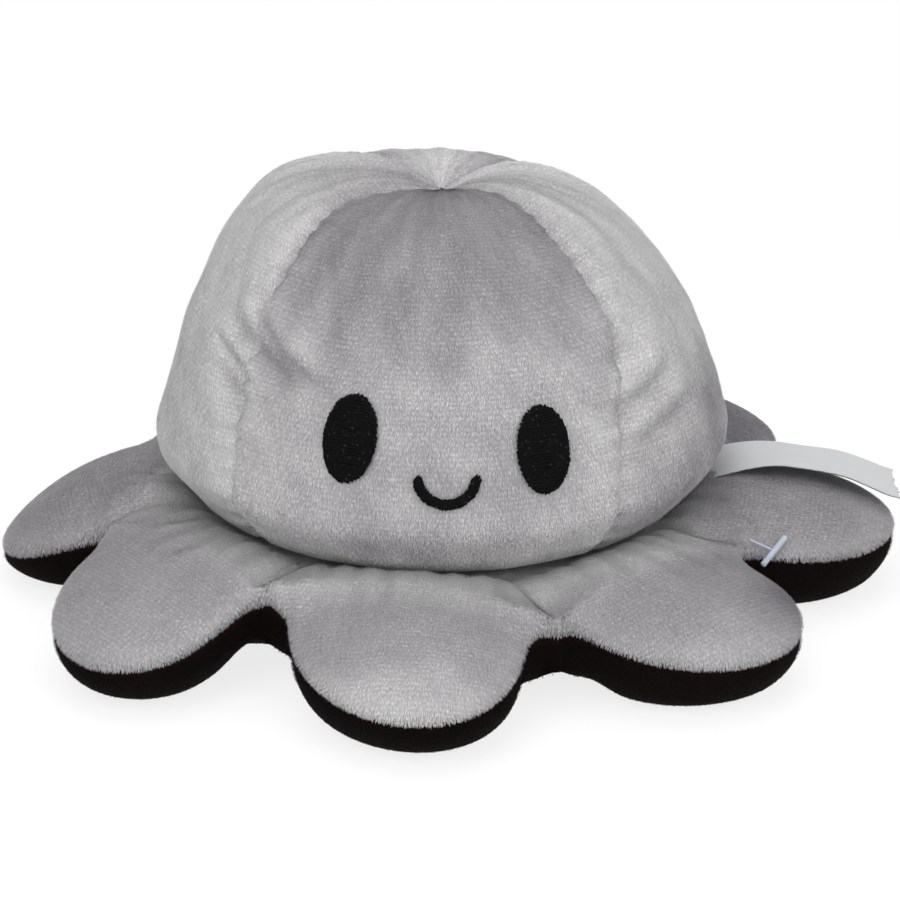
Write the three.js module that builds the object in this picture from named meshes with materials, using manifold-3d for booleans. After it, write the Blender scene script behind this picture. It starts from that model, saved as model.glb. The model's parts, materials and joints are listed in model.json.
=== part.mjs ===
// Reversible plush octopus: a stuffed grey head on a skirt of eight grey arms, and the
// black side, which is the underside of the skirt and the second head turned in below.
// Millimetres, +Z up, the face looks along -Y, and the floor is at z = 0.

import * as THREE from 'three';
import Module from 'manifold-3d';

const wasm = await Module();
wasm.setup();

// Cloth and clearances
const cloth = 1.6;
const gap = 0.3;

// Head: its profile runs from the neck seam up to the dimple where the four panels meet
const headRadius = 63.9;
const headHeight = 73.4;
const neckRadius = 47;
const neckHeight = 20.8;
const crownHole = 1.2;
const headShares = [
  [0.845, 0.045], [0.923, 0.115], [1, 0.21], [0.98, 0.326], [0.937, 0.454], [0.876, 0.585],
  [0.782, 0.717], [0.673, 0.829], [0.524, 0.926], [0.313, 0.99], [0.14, 0.99],
];
const dimpleShare = 0.955;
const headRows = 10;
const headFacets = 8;
const headSeams = [-140, -46, 44, 134];
const seamCrease = 1.3;
const crownCrease = 2.2;
const creaseFade = 25;
const fullnessShare = 0.04;
const fullestAzimuth = 195;
const puffDepth = 6;
const puffAzimuth = 165;
const puffSpreadAngle = 55;
const puffShare = 0.73;
const puffSpreadShare = 0.2;

// Pocket: the black head turned in, with its mouth in the underside
const mouthRadius = 25;
const pocketRadius = 21;
const pocketHeight = 57;
const pocketShares = [[1.05, 0.18], [1, 0.4], [0.98, 0.66], [0.77, 0.87], [0.38, 0.97]];
const pocketRows = 7;
const pocketFacets = 4;

// Skirt: a stuffed ring from the neck out to a rounded fold at the root of each arm
const notchRadius = 73;
const foldHeight = 13.5;
const foldRadius = 12.3;
const notchHalf = 5;
const seamLift = 3;
const skirtInset = 1.5;
const skirtDrop = 0.6;
const flatRadius = 50;
const foldSteps = 4;
const swellShare = 0.6;

// Angles round the fold, in the middle of an arm's root and at its notches, where the
// grey and black cloth meet
const topFoldAngles = [[60, 68], [32, 44]];
const bareFoldAngles = [[26, 40], [-14, 36], [-54, 32]];
const underFoldAngles = [[-75, -28], [-60, 28]];
const topRunShares = [0, 0.5, 0.85, 1];
const runShares = [0, 0.5, 1];

// Notches between the arms, and what differs from arm to arm, counter-clockwise from
// the arm on the far left of the face
const notchAzimuths = [154, -164, -123.5, -71, -25.2, 19, 63, 108];
const notchShares = [1, 1.035, 0.952, 1.01, 0.98, 1, 1, 1];
const reachShares = [1.01, 1.15, 1.1, 1.04, 1.17, 1, 1, 1];
const leanShares = [0.14, 0.33, 0.25, 0.2, 0.08, 0, 0, 0];
const tipShares = [0.76, 0.95, 0.95, 1.07, 1.22, 1, 1, 1];

// Arms
const armReach = 30;
const armHalfWidth = 24.5;
const armTipHeight = 10.5;
const armRim = 1.5;
const armThinShare = 0.2;
const armFlareShare = 0.17;
const armBlendLength = 9;
const armFlatCut = 0.5;
const armBackLap = 1;
const armCentreShare = 0.4;
const armTipSteps = 7;
const fillingTipSteps = 3;
const armTopShares = [0, 0.5, 0.8, 1];
const armUnderShares = [0, 0.8, 1];
const armFillingShares = [0, 0.8];

// Socket at the root of each arm, which turns about the fold
const socketTopAngle = 30;
const socketLowAngle = -60;
const socketSteps = 3;
const socketClearance = 0.35;
const socketReach = 25;
const socketLap = 4;

// Face, embroidered on the front panel, and its twin inside the pocket
const threadThickness = 0.8;
const eyeHalfWidth = 5.7;
const eyeHalfHeight = 8.5;
const eyeHeightShares = [0.466, 0.433];
const eyeAzimuths = [-108.3, -69.6];
const eyeLeanShares = [0.05, 0.02];
const eyeSteps = 14;
const eyeRings = [0, 0.7, 1];
const mouthHalfWidth = 6;
const mouthDrop = 5.6;
const mouthStrokeWidth = 2.2;
const mouthHeightShare = 0.38;
const mouthAzimuth = -88.9;
const mouthSteps = 10;
const innerEyeAzimuths = [-112, -68];
const innerEyeHeightShare = 0.6;
const innerMouthHeightShare = 0.4;
const innerMouthAzimuth = -90;

// Bare sewn-in label, which leaves the neck seam on the right and hangs over an arm
const labelWidth = 16;
const labelThickness = 0.5;
const labelCentre = 2;
const labelSetback = 7.9;
const labelLift = 2;
const labelReach = 48;
const labelRise = 4.8;
const labelShares = [
  [0, 0], [0.06, 0.27], [0.17, 0.7], [0.31, 1], [0.5, 0.98], [0.69, 0.66], [0.85, 0.15],
  [1, -0.5],
];

// Plastic tag fastener: a short bar on a filament, left in the cloth of an arm
const fastenerArmIndex = 4;
const barLength = 9;
const barRadius = 0.75;
const barShares = [0.22, -1.02];
const barTurnAngle = 50;
const barTiltAngle = 30;
const barLift = 2.6;
const filamentRadius = 0.4;
const filamentLength = 6;
const filamentTiltAngle = 25;
const roundSides = 8;

const grey = new THREE.Color('#9d989c');
const black = new THREE.Color('#131316');
const white = new THREE.Color('#f1f0ee');
const clear = new THREE.Color('#e6ebee');

const radians = THREE.MathUtils.degToRad;
const mix = THREE.MathUtils.lerp;
const ease = (value) => THREE.MathUtils.smoothstep(value, 0, 1);
const point = (x, y, z) => new THREE.Vector3(x, y, z);
const around = (azimuth, radius, z) =>
  point(radius * Math.cos(azimuth), radius * Math.sin(azimuth), z);

// Points nearer to each other than this are one point
const mergeDistance = 0.002;

const part = new THREE.Group();

// Closed meshes from grids of points

class Skin {
  constructor() {
    this.points = [];
    this.faces = [];
    this.index = new Map();
  }

  add(place) {
    const key = place.toArray().map((value) => Math.round(value / mergeDistance)).join();
    if (!this.index.has(key)) {
      this.index.set(key, this.points.length);
      this.points.push(place);
    }
    return this.index.get(key);
  }

  face(a, b, c) {
    if (a !== b && b !== c && c !== a) this.faces.push(a, b, c);
  }

  // Quads between two rows, each split along its shorter diagonal, so that a piece and
  // the one nested in it are split alike
  strip(rowA, rowB) {
    const length = (a, b) => this.points[a].distanceTo(this.points[b]);
    for (let i = 0; i + 1 < rowA.length; i += 1) {
      const [a, b, c, d] = [rowA[i], rowA[i + 1], rowB[i + 1], rowB[i]];
      if (length(a, c) < length(b, d)) {
        this.face(a, b, c);
        this.face(a, c, d);
      } else {
        this.face(a, b, d);
        this.face(b, c, d);
      }
    }
  }

  volume() {
    let sum = 0;
    for (let i = 0; i < this.faces.length; i += 3) {
      const [a, b, c] = this.faces.slice(i, i + 3).map((n) => this.points[n]);
      sum += a.dot(b.clone().cross(c));
    }
    return sum;
  }

  geometry() {
    if (this.volume() < 0) this.faces.reverse();
    const geometry = new THREE.BufferGeometry();
    const values = this.points.flatMap((place) => place.toArray());
    geometry.setAttribute('position', new THREE.Float32BufferAttribute(values, 3));
    geometry.setIndex(this.faces);
    return geometry;
  }
}

// A slab between two grids of the same rows and columns; a wrapped grid closes on itself
function slab(outer, inner, wrapped = false) {
  const skin = new Skin();
  const outside = outer.map((row) => row.map((place) => skin.add(place)));
  const inside = inner.map((row) => row.map((place) => skin.add(place)));
  const last = outside.length - 1;
  for (let i = 0; i < last; i += 1) {
    skin.strip(outside[i], outside[i + 1]);
    skin.strip(inside[i + 1], inside[i]);
  }
  skin.strip(inside[0], outside[0]);
  skin.strip(outside[last], inside[last]);
  if (wrapped) return skin.geometry();
  const side = (rows, n) => rows.map((row) => row.at(n));
  skin.strip(side(outside, 0), side(inside, 0));
  skin.strip(side(inside, -1), side(outside, -1));
  return skin.geometry();
}

// A closed skin of rows that wrap round, whose end rows meet: a ring, or a form that
// starts and ends on the axis
function shell(rows, closed) {
  const skin = new Skin();
  const numbers = rows.map((row) => row.map((place) => skin.add(place)));
  for (let i = 0; i + 1 < numbers.length; i += 1) skin.strip(numbers[i], numbers[i + 1]);
  if (closed) skin.strip(numbers.at(-1), numbers[0]);
  return skin.geometry();
}

function solidOf(geometry) {
  return new wasm.Manifold(new wasm.Mesh({
    numProp: 3,
    vertProperties: new Float32Array(geometry.attributes.position.array),
    triVerts: new Uint32Array(geometry.index.array),
  }));
}

function geometryOf(solid) {
  const mesh = solid.getMesh();
  const geometry = new THREE.BufferGeometry();
  geometry.setAttribute('position', new THREE.BufferAttribute(mesh.vertProperties, 3));
  geometry.setIndex(new THREE.BufferAttribute(mesh.triVerts, 1));
  return geometry;
}

function place(name, geometry, color, roughness, parent = part) {
  geometry.computeVertexNormals();
  const material = new THREE.MeshStandardMaterial({ color, roughness, metalness: 0 });
  const mesh = new THREE.Mesh(geometry, material);
  mesh.name = name;
  parent.add(mesh);
}

// The share of the way up a profile at which it has a height
function riseAt(profile, height) {
  let [low, high] = [0, 0.8];
  for (let n = 0; n < 30; n += 1) {
    const middle = (low + high) / 2;
    if (profile.getPointAt(middle).y < height) low = middle;
    else high = middle;
  }
  return low;
}

// Head

const headProfile = new THREE.SplineCurve([
  new THREE.Vector2(neckRadius, neckHeight),
  ...headShares.map(([r, z]) =>
    new THREE.Vector2(r * headRadius, neckHeight + z * headHeight)),
  new THREE.Vector2(crownHole, neckHeight + dimpleShare * headHeight),
]);

// Where a piece lies across its gore: 0 in the middle, 1 at its two seams
const edgeOf = (across) => Math.abs(2 * across - 1);

function headPoint(azimuth, across, rise, inset) {
  const { x, y } = headProfile.getPointAt(rise);
  const run = headProfile.getTangentAt(rise);
  const upper = ease(2 * rise - 1);
  const lower = ease(4 * rise);
  const full = 1 + fullnessShare * upper * Math.cos(azimuth - radians(fullestAzimuth));
  const fade = Math.min(1, x / creaseFade);
  const crease = seamCrease * lower * edgeOf(across) ** 8 * fade;
  const dip = crownCrease * upper * edgeOf(across) ** 4 * fade;
  const outset = headPuff(azimuth, rise) - inset;
  return around(azimuth, x * full - crease + outset * run.y, y - dip - outset * run.x);
}

// The stuffing pushes the head out over its left shoulder
function headPuff(azimuth, rise) {
  const turn = Math.cos(azimuth - radians(puffAzimuth)) - 1;
  const side = turn / (1 - Math.cos(radians(puffSpreadAngle)));
  const height = (rise - puffShare) / puffSpreadShare;
  return puffDepth * Math.exp(side - height ** 2);
}

// A gore's azimuth, held back from its seams by half the clearance
function goreAzimuth(seams, n, across, radius) {
  const start = radians(seams[n]);
  const turn = radians((seams[(n + 1) % seams.length] - seams[n] + 360) % 360);
  const hold = radius > 0 ? Math.asin(gap / 2 / radius) : 0;
  return start + hold + across * (turn - 2 * hold);
}

const steps = (count) => Array.from({ length: count + 1 }, (_, n) => n / count);

function headPanel(n) {
  const rows = (inset) => steps(headRows).map((rise) => {
    const radius = Math.max(crownHole, headProfile.getPointAt(rise).x - inset);
    return steps(headFacets).map((across) =>
      headPoint(goreAzimuth(headSeams, n, across, radius), across, rise, inset));
  });
  return slab(rows(0), rows(cloth));
}

// Pocket

const pocketProfile = new THREE.SplineCurve([
  new THREE.Vector2(mouthRadius, cloth + gap),
  ...pocketShares.map(([r, z]) => new THREE.Vector2(r * pocketRadius, z * pocketHeight)),
  new THREE.Vector2(crownHole, pocketHeight),
]);

// The pocket's cloth grows away from the hollow, so its outset leads into the filling
function pocketPoint(azimuth, rise, outset) {
  const { x, y } = pocketProfile.getPointAt(rise);
  const run = pocketProfile.getTangentAt(rise);
  return around(azimuth, x + outset * run.y, y - outset * run.x);
}

// The radius of the pocket at a height
const pocketWidth = (height, outset) =>
  pocketPoint(0, riseAt(pocketProfile, height), outset).x;

function pocketPanel(n) {
  const rows = (outset) => steps(pocketRows).map((rise) => {
    const radius = Math.max(crownHole, pocketProfile.getPointAt(rise).x);
    return steps(pocketFacets).map((across) =>
      pocketPoint(goreAzimuth(headSeams, n, across, radius), rise, outset));
  });
  return slab(rows(0), rows(cloth));
}

// The filling's columns are every other one of the gores', and close on the first
function fillingColumns() {
  const columns = headSeams.flatMap((_, n) => steps(pocketFacets).slice(0, -1)
    .map((across) => ({ across, azimuth: goreAzimuth(headSeams, n, across, 0) })));
  return [...columns, columns[0]];
}

function headFilling() {
  const columns = fillingColumns();
  const inset = cloth + gap;
  const rim = neckHeight;
  const wall = steps(pocketRows).reverse()
    .map((rise) => columns.map(({ azimuth }) => pocketPoint(azimuth, rise, inset)))
    .filter((row) => row[0].z > rim + gap);
  const roof = point(0, 0, wall[0][0].z);
  const foot = columns.map(({ azimuth }) => around(azimuth, pocketWidth(rim, inset), rim));
  const dome = steps(headRows / 2).map((rise) =>
    columns.map(({ azimuth, across }) => headPoint(azimuth, across, rise, inset)));
  const crown = point(0, 0, Math.min(...dome.at(-1).map((place) => place.z)));
  const sole = dome[0].map((place) => point(place.x, place.y, rim));
  return shell([
    columns.map(() => roof), ...wall, foot, sole, ...dome, columns.map(() => crown),
  ]);
}

// Arms and their notches

const notches = notchAzimuths.map((azimuth, n) =>
  around(radians(azimuth), notchRadius * notchShares[n], 0));

const arms = notches.map((start, n) => {
  const end = notches[(n + 1) % notches.length];
  const along = end.clone().sub(start).normalize();
  return {
    n,
    start,
    end,
    along,
    middle: start.clone().add(end).divideScalar(2),
    out: point(along.y, -along.x, 0),
    half: start.distanceTo(end) / 2,
    reach: armReach * reachShares[n],
    lean: armHalfWidth * leanShares[n],
    tip: armTipHeight * tipShares[n],
  };
});

// Half the skirt's thickness along the fold at the root of an arm, from -1 to 1
const foldAt = (across) =>
  notchHalf + (foldRadius - notchHalf) * Math.max(0, 1 - across ** 2) ** swellShare;

// Skirt

// One column of the skirt, from the neck out to the fold
function skirtColumn(arm, across, nudge = 0) {
  const root = arm.middle.clone().addScaledVector(arm.along, across * arm.half);
  const ray = root.clone().normalize();
  const side = point(-ray.y, ray.x, 0);
  const notch = Math.abs(across) === 1;
  root.addScaledVector(side, nudge);
  return { root, ray, side, out: notch ? ray : arm.out, notch, nudge, fold: foldAt(across) };
}

const onRay = (column, radius, z) =>
  point(0, 0, z).addScaledVector(column.ray, radius).addScaledVector(column.side, column.nudge);

function topRun(column, share, inset) {
  const start = onRay(column, neckRadius - skirtInset, 0);
  const place = start.lerp(column.root, share);
  place.z = mix(neckHeight - skirtDrop, foldHeight + column.fold, ease(share)) - inset;
  return place;
}

function underRun(column, share, inset) {
  const place = onRay(column, flatRadius, 0).lerp(column.root, share);
  place.z = mix(0, foldHeight - column.fold, ease(share)) + inset;
  return place;
}

function foldPoint(column, angles, inset) {
  const radius = column.fold - inset;
  const angle = radians(angles[column.notch ? 1 : 0]);
  const place = column.root.clone().addScaledVector(column.out, radius * Math.cos(angle));
  place.z = foldHeight + radius * Math.sin(angle);
  return place;
}

// Columns over a run of arms; the outer two stand off the seams by half the clearance
function skirtColumns(first, count, nudge) {
  const columns = [];
  for (let n = first; n < first + count; n += 1) {
    const arm = arms[n % arms.length];
    steps(foldSteps).slice(0, -1).forEach((share) => {
      const starts = n === first && share === 0;
      columns.push(skirtColumn(arm, 2 * share - 1, starts ? nudge : 0));
    });
  }
  columns.push(skirtColumn(arms[(first + count - 1) % arms.length], 1, -nudge));
  return columns;
}

const grid = (columns, rows) => rows.map((row) => columns.map((column) => row(column)));

function skirtTop(first, count) {
  const columns = skirtColumns(first, count, gap / 2);
  const rows = (inset) => grid(columns, [
    ...topRunShares.map((share) => (column) => topRun(column, share, inset)),
    ...topFoldAngles.map((angles) => (column) => foldPoint(column, angles, inset)),
  ]);
  return slab(rows(0), rows(cloth));
}

function skirtUnder(first, count) {
  const columns = skirtColumns(first, count, gap / 2);
  const rows = (inset) => grid(columns, [
    (column) => onRay(column, mouthRadius, inset),
    ...runShares.map((share) => (column) => underRun(column, share, inset)),
    ...underFoldAngles.map((angles) => (column) => foldPoint(column, angles, inset)),
  ]);
  return slab(rows(0), rows(cloth));
}

function skirtFilling() {
  const columns = skirtColumns(0, arms.length, 0);
  const inset = cloth + gap;
  const roof = neckHeight - skirtDrop - inset;
  const wallAt = (column, height) => onRay(column, pocketWidth(height, inset), height);
  return shell(grid(columns, [
    (column) => wallAt(column, roof),
    ...runShares.map((share) => (column) => topRun(column, share, inset)),
    (column) => foldPoint(column, topFoldAngles.at(-1), inset),
    ...bareFoldAngles.map((angles) => (column) => foldPoint(column, angles, 0)),
    (column) => foldPoint(column, bareFoldAngles.at(-1), inset),
    ...underFoldAngles.toReversed().map((angles) => (column) =>
      foldPoint(column, angles, inset)),
    ...runShares.toReversed().map((share) => (column) => underRun(column, share, inset)),
    (column) => wallAt(column, inset),
  ]), true);
}

// Arms, each in its own frame: x runs out from the fold and y along it

function armWidth(arm, x) {
  const flare = armFlareShare * arm.reach;
  if (x >= flare) return armHalfWidth;
  return armHalfWidth + (arm.half - armHalfWidth) * (1 - Math.max(0, x) / flare) ** 2;
}

// How far out a place lies in the arm's outline: 0 on its centre line, 1 at its edge
function armEdge(arm, x, y) {
  const flare = armFlareShare * arm.reach;
  const side = (y - arm.lean * Math.max(0, x) / arm.reach) / armWidth(arm, x);
  return Math.min(1, Math.hypot(side, Math.max(0, x - flare) / (arm.reach - flare)));
}

function armHeights(arm, x, y) {
  const edge = armEdge(arm, x, y);
  const run = Math.max(0, x) / arm.reach;
  const settled = ease(Math.max(0, x) / armBlendLength);
  const rim = mix(notchHalf, armRim, settled);
  const middle = foldHeight + (arm.tip - foldHeight) * run ** 1.5;
  const seam = middle + seamLift * edge ** 4 * (1 - run) ** 2;
  const crown = foldRadius * (1 - armThinShare * run);
  const belly = mix(foldRadius, middle + armFlatCut, settled);
  const top = middle + rim + (crown - rim) * (1 - edge ** 2) ** swellShare;
  const under = middle - rim - (belly - rim) * (1 - edge ** (2 + 2 * settled)) ** swellShare;
  return { seam, top, under: Math.max(0, under) };
}

function armOutline(arm, tipSteps) {
  const flare = armFlareShare * arm.reach;
  const leanAt = (x) => arm.lean * Math.max(0, x) / arm.reach;
  const flank = (x, side) => [x, side * armWidth(arm, x) + leanAt(x)];
  const tip = steps(tipSteps).map((share) => {
    const turn = Math.PI * (share - 0.5);
    const x = flare + (arm.reach - flare) * Math.cos(turn);
    return [x, armHalfWidth * Math.sin(turn) + leanAt(x)];
  });
  const start = [flank(-armBackLap, -1), flank(flare / 2, -1)];
  const end = [flank(flare / 2, 1), flank(-armBackLap, 1), [-armBackLap, 0]];
  return [...start, ...tip, ...end, start[0]];
}

function armGrid(arm, rings, tipSteps, heightOf) {
  const centre = [armCentreShare * arm.reach, armCentreShare * arm.lean];
  return rings.map((ring) => armOutline(arm, tipSteps).map(([x, y]) => {
    const [px, py] = [mix(centre[0], x, ring), mix(centre[1], y, ring)];
    return point(px, py, heightOf(armHeights(arm, px, py)));
  }));
}

// What an arm gives way to: the fold with its clearance, and the room to turn about it
function foldCutter(arm) {
  const ends = arm.half + socketLap;
  const turn = socketTopAngle - socketLowAngle;
  const spread = Math.cos(radians(turn / socketSteps / 2));
  const middles = steps(foldSteps).map((share) => 2 * share - 1);
  const sections = [
    [-ends, notchHalf], ...middles.map((n) => [n * arm.half, foldAt(n)]), [ends, notchHalf],
  ];
  return sections.map(([y, fold]) => socketSection(y, (fold + socketClearance) / spread));
}

// One section of it: an arc about the fold, and a straight run on from each of its ends
function socketSection(y, radius) {
  const at = (degrees, length) => {
    const [c, s] = [Math.cos(radians(degrees)), Math.sin(radians(degrees))];
    return point(radius * c - length * s, y, foldHeight + radius * s + length * c);
  };
  const arc = steps(socketSteps).map((share) =>
    at(mix(socketLowAngle, socketTopAngle, share), 0));
  return [at(socketLowAngle, -socketReach), ...arc, at(socketTopAngle, socketReach)];
}

function loft(rows) {
  const skin = new Skin();
  const numbers = rows.map((row) => row.map((place) => skin.add(place)));
  const ring = (row) => [...row, row[0]];
  for (let i = 0; i + 1 < numbers.length; i += 1) {
    skin.strip(ring(numbers[i]), ring(numbers[i + 1]));
  }
  const cap = (row) => {
    for (let i = 1; i + 1 < row.length; i += 1) skin.face(row[0], row[i], row[i + 1]);
  };
  cap(numbers[0].toReversed());
  cap(numbers.at(-1));
  return skin.geometry();
}

function cutArm(arm, rings, tipSteps, upper, lower) {
  const body = slab(
    armGrid(arm, rings, tipSteps, upper), armGrid(arm, rings, tipSteps, lower), true);
  return geometryOf(solidOf(body).subtract(solidOf(loft(foldCutter(arm)))));
}

function armTop(arm) {
  const inner = (h) => Math.max(h.top - cloth, h.seam + gap / 2);
  return cutArm(arm, armTopShares, armTipSteps, (h) => h.top, inner);
}

function armUnder(arm) {
  const inner = (h) => Math.min(h.under + cloth, h.seam - gap / 2);
  return cutArm(arm, armUnderShares, armTipSteps, inner, (h) => h.under);
}

function armFilling(arm) {
  const inset = cloth + 3 * gap;
  return cutArm(arm, armFillingShares, fillingTipSteps,
    (h) => h.top - inset, (h) => h.under + inset);
}

function addArm(arm) {
  const group = new THREE.Group();
  group.position.copy(arm.middle);
  group.rotation.z = Math.atan2(arm.out.y, arm.out.x);
  const name = `tentacle_${arm.n + 1}`;
  place(`${name}_top`, armTop(arm), grey, 0.95, group);
  place(`${name}_under`, armUnder(arm), black, 0.95, group);
  place(`${name}_filling`, armFilling(arm), white, 1, group);
  part.add(group);
  return group;
}

// Embroidery: patches that lie on the head or inside the pocket

function onHead(azimuth, height, across, lift) {
  const rise = riseAt(headProfile, height);
  const radius = headProfile.getPointAt(rise).x;
  return headPoint(radians(azimuth) + across / radius, 0.5, rise, -lift);
}

function inPocket(azimuth, height, across, lift) {
  const rise = riseAt(pocketProfile, height);
  return pocketPoint(radians(azimuth) + across / pocketRadius, rise, -lift - pocketSag);
}

// The pocket's flat facets stand in from its round, so a patch there lies further in
const pocketSag = pocketRadius * (1 - Math.cos(Math.PI / 4 / pocketFacets))
  + (pocketHeight / pocketRows) ** 2 / (8 * pocketRadius);

function eye(surface, azimuth, height, lean) {
  const turns = steps(eyeSteps).map((share) => 2 * Math.PI * (share % 1));
  const rows = (lift) => eyeRings.map((ring) => turns.map((turn) => {
    const up = ring * eyeHalfHeight * Math.sin(turn);
    const across = ring * eyeHalfWidth * Math.cos(turn) + lean * up;
    return surface(azimuth, height + up, across, lift);
  }));
  return slab(rows(gap + threadThickness), rows(gap), true);
}

function mouth(surface, azimuth, height) {
  const rows = (lift) => [-1, 1].map((edge) => steps(mouthSteps).map((share) => {
    const turn = Math.PI * (share - 0.5);
    const across = (mouthHalfWidth + edge * mouthStrokeWidth / 2) * Math.sin(turn);
    const drop = (mouthDrop + edge * mouthStrokeWidth / 2) * Math.cos(turn);
    return surface(azimuth, height - drop, across, lift);
  }));
  return slab(rows(gap + threadThickness), rows(gap));
}

// Label and tag fastener

function label() {
  const rows = (lift) => labelShares.map(([out, up]) => [-1, 1].map((side) => point(
    neckRadius + labelSetback + out * labelReach,
    labelCentre + side * labelWidth / 2,
    neckHeight + labelLift + up * labelRise + lift * labelThickness,
  )));
  return slab(rows(1), rows(0));
}

// In the frame of the arm that carries it
function fastener(arm) {
  const rod = (radius, length) => new THREE.CylinderGeometry(radius, radius, length, roundSides);
  const bar = rod(barRadius, barLength);
  bar.rotateX(radians(barTiltAngle));
  bar.rotateZ(radians(barTurnAngle - 90));
  const filament = rod(filamentRadius, filamentLength);
  filament.translate(0, filamentLength / 2, 0);
  filament.rotateX(radians(filamentTiltAngle));
  filament.rotateZ(radians(90));
  const geometry = geometryOf(joinable(bar).add(joinable(filament)));
  const [x, y] = [barShares[0] * arm.reach, barShares[1] * armHalfWidth];
  geometry.translate(x, y, armHeights(arm, x, y).top + barLift);
  return geometry;
}

function joinable(geometry) {
  const skin = new Skin();
  const { position } = geometry.attributes;
  const number = (n) => skin.add(new THREE.Vector3().fromBufferAttribute(position, n));
  const corners = Array.from(geometry.index.array, number);
  for (let i = 0; i < corners.length; i += 3) skin.face(...corners.slice(i, i + 3));
  return solidOf(skin.geometry());
}

// Assembly

['left', 'front', 'right', 'back'].forEach((side, n) => {
  const gore = (n + headSeams.length - 1) % headSeams.length;
  place(`head_${side}_panel`, headPanel(gore), grey, 0.95);
  place(`pocket_${side}_panel`, pocketPanel(gore), black, 0.95);
});
place('head_filling', headFilling(), white, 1);
place('skirt_filling', skirtFilling(), white, 1);
place('skirt_top_right', skirtTop(3, 4), grey, 0.95);
place('skirt_top_left', skirtTop(7, 4), grey, 0.95);
place('skirt_under_right', skirtUnder(3, 4), black, 0.95);
place('skirt_under_left', skirtUnder(7, 4), black, 0.95);
const armGroups = arms.map(addArm);

['left', 'right'].forEach((side, n) => {
  const height = neckHeight + eyeHeightShares[n] * headHeight;
  const innerHeight = innerEyeHeightShare * pocketHeight;
  place(`eye_${side}`, eye(onHead, eyeAzimuths[n], height, eyeLeanShares[n]), black, 0.6);
  place(`reverse_eye_${side}`, eye(inPocket, innerEyeAzimuths[n], innerHeight, 0), white, 0.6);
});
const mouthHeight = neckHeight + mouthHeightShare * headHeight;
const innerMouthHeight = innerMouthHeightShare * pocketHeight;
place('mouth', mouth(onHead, mouthAzimuth, mouthHeight), black, 0.6);
place('reverse_mouth', mouth(inPocket, innerMouthAzimuth, innerMouthHeight), white, 0.6);
place('label', label(), white, 0.5);
place('tag_fastener', fastener(arms[fastenerArmIndex]), clear, 0.3, armGroups[fastenerArmIndex]);

// The frame's origin is the middle of the whole part, on the floor
const middle = new THREE.Box3().setFromObject(part, true).getCenter(point(0, 0, 0));
part.position.set(-middle.x, -middle.y, 0);

export default part;
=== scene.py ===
"""Reversible stuffed octopus: short grey plush above, black plush below, an embroidered face."""
import json
import math
from functools import cache
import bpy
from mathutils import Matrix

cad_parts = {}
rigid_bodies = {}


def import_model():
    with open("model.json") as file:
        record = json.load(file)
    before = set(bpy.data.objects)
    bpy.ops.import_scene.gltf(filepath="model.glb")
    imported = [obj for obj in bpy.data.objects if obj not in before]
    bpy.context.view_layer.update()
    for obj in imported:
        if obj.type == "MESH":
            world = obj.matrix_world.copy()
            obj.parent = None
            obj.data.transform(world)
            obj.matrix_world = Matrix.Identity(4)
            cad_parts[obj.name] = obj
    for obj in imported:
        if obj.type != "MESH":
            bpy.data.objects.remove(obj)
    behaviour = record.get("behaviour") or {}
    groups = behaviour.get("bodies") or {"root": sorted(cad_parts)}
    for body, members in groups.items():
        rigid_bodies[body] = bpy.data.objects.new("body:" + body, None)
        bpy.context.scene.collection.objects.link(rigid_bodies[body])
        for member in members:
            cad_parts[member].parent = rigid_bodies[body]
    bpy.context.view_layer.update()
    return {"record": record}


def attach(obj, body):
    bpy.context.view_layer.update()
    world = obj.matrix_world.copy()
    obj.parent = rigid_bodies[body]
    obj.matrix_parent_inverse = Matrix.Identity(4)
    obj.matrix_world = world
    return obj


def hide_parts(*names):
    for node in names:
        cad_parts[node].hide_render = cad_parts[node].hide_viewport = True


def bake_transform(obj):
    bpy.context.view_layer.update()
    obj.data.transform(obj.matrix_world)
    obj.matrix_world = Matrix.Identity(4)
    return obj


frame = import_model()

from types import SimpleNamespace as Side

import bpy
import numpy as np
from bpy.props import FloatProperty, FloatVectorProperty, IntProperty, PointerProperty
from bpy.types import Operator, Panel, PropertyGroup
from mathutils import Vector

bl_info = {
    "name": "Reversible stuffed octopus",
    "version": (1, 0, 0),
    "blender": (4, 5, 0),
    "location": "3D View > Sidebar > Octopus",
    "description": "Builds a reversible plush octopus with real pile, stitches and label tape",
    "category": "Object",
}

MM = .001
NECK_BEHIND = .038
BASE = frame["record"]["mounts"][0]["pos_m"]
NECK_AXIS = np.array([BASE[0], BASE[1] + NECK_BEHIND, 0.0])

# Sizes of the pattern, in millimetres about the neck's axis, as the solids have them: the
# cloth's thickness and how far it stays off the floor, the head, the pocket, the tentacles
CLOTH, FLOOR = 1.6, .25
HEAD_RADIUS, HEAD_HEIGHT = 63.9, 73.4
NECK_RADIUS, NECK_HEIGHT = 47.0, 20.8
HEAD_PROFILE = [(.845, .045), (.923, .115), (1, .21), (.98, .326), (.937, .454), (.876, .585),
                (.782, .717), (.673, .829), (.524, .926), (.313, .99), (.14, .99)]
HEAD_SEAMS = {"left": (134, 220), "front": (-140, -46), "right": (-46, 44), "back": (44, 134)}
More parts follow.
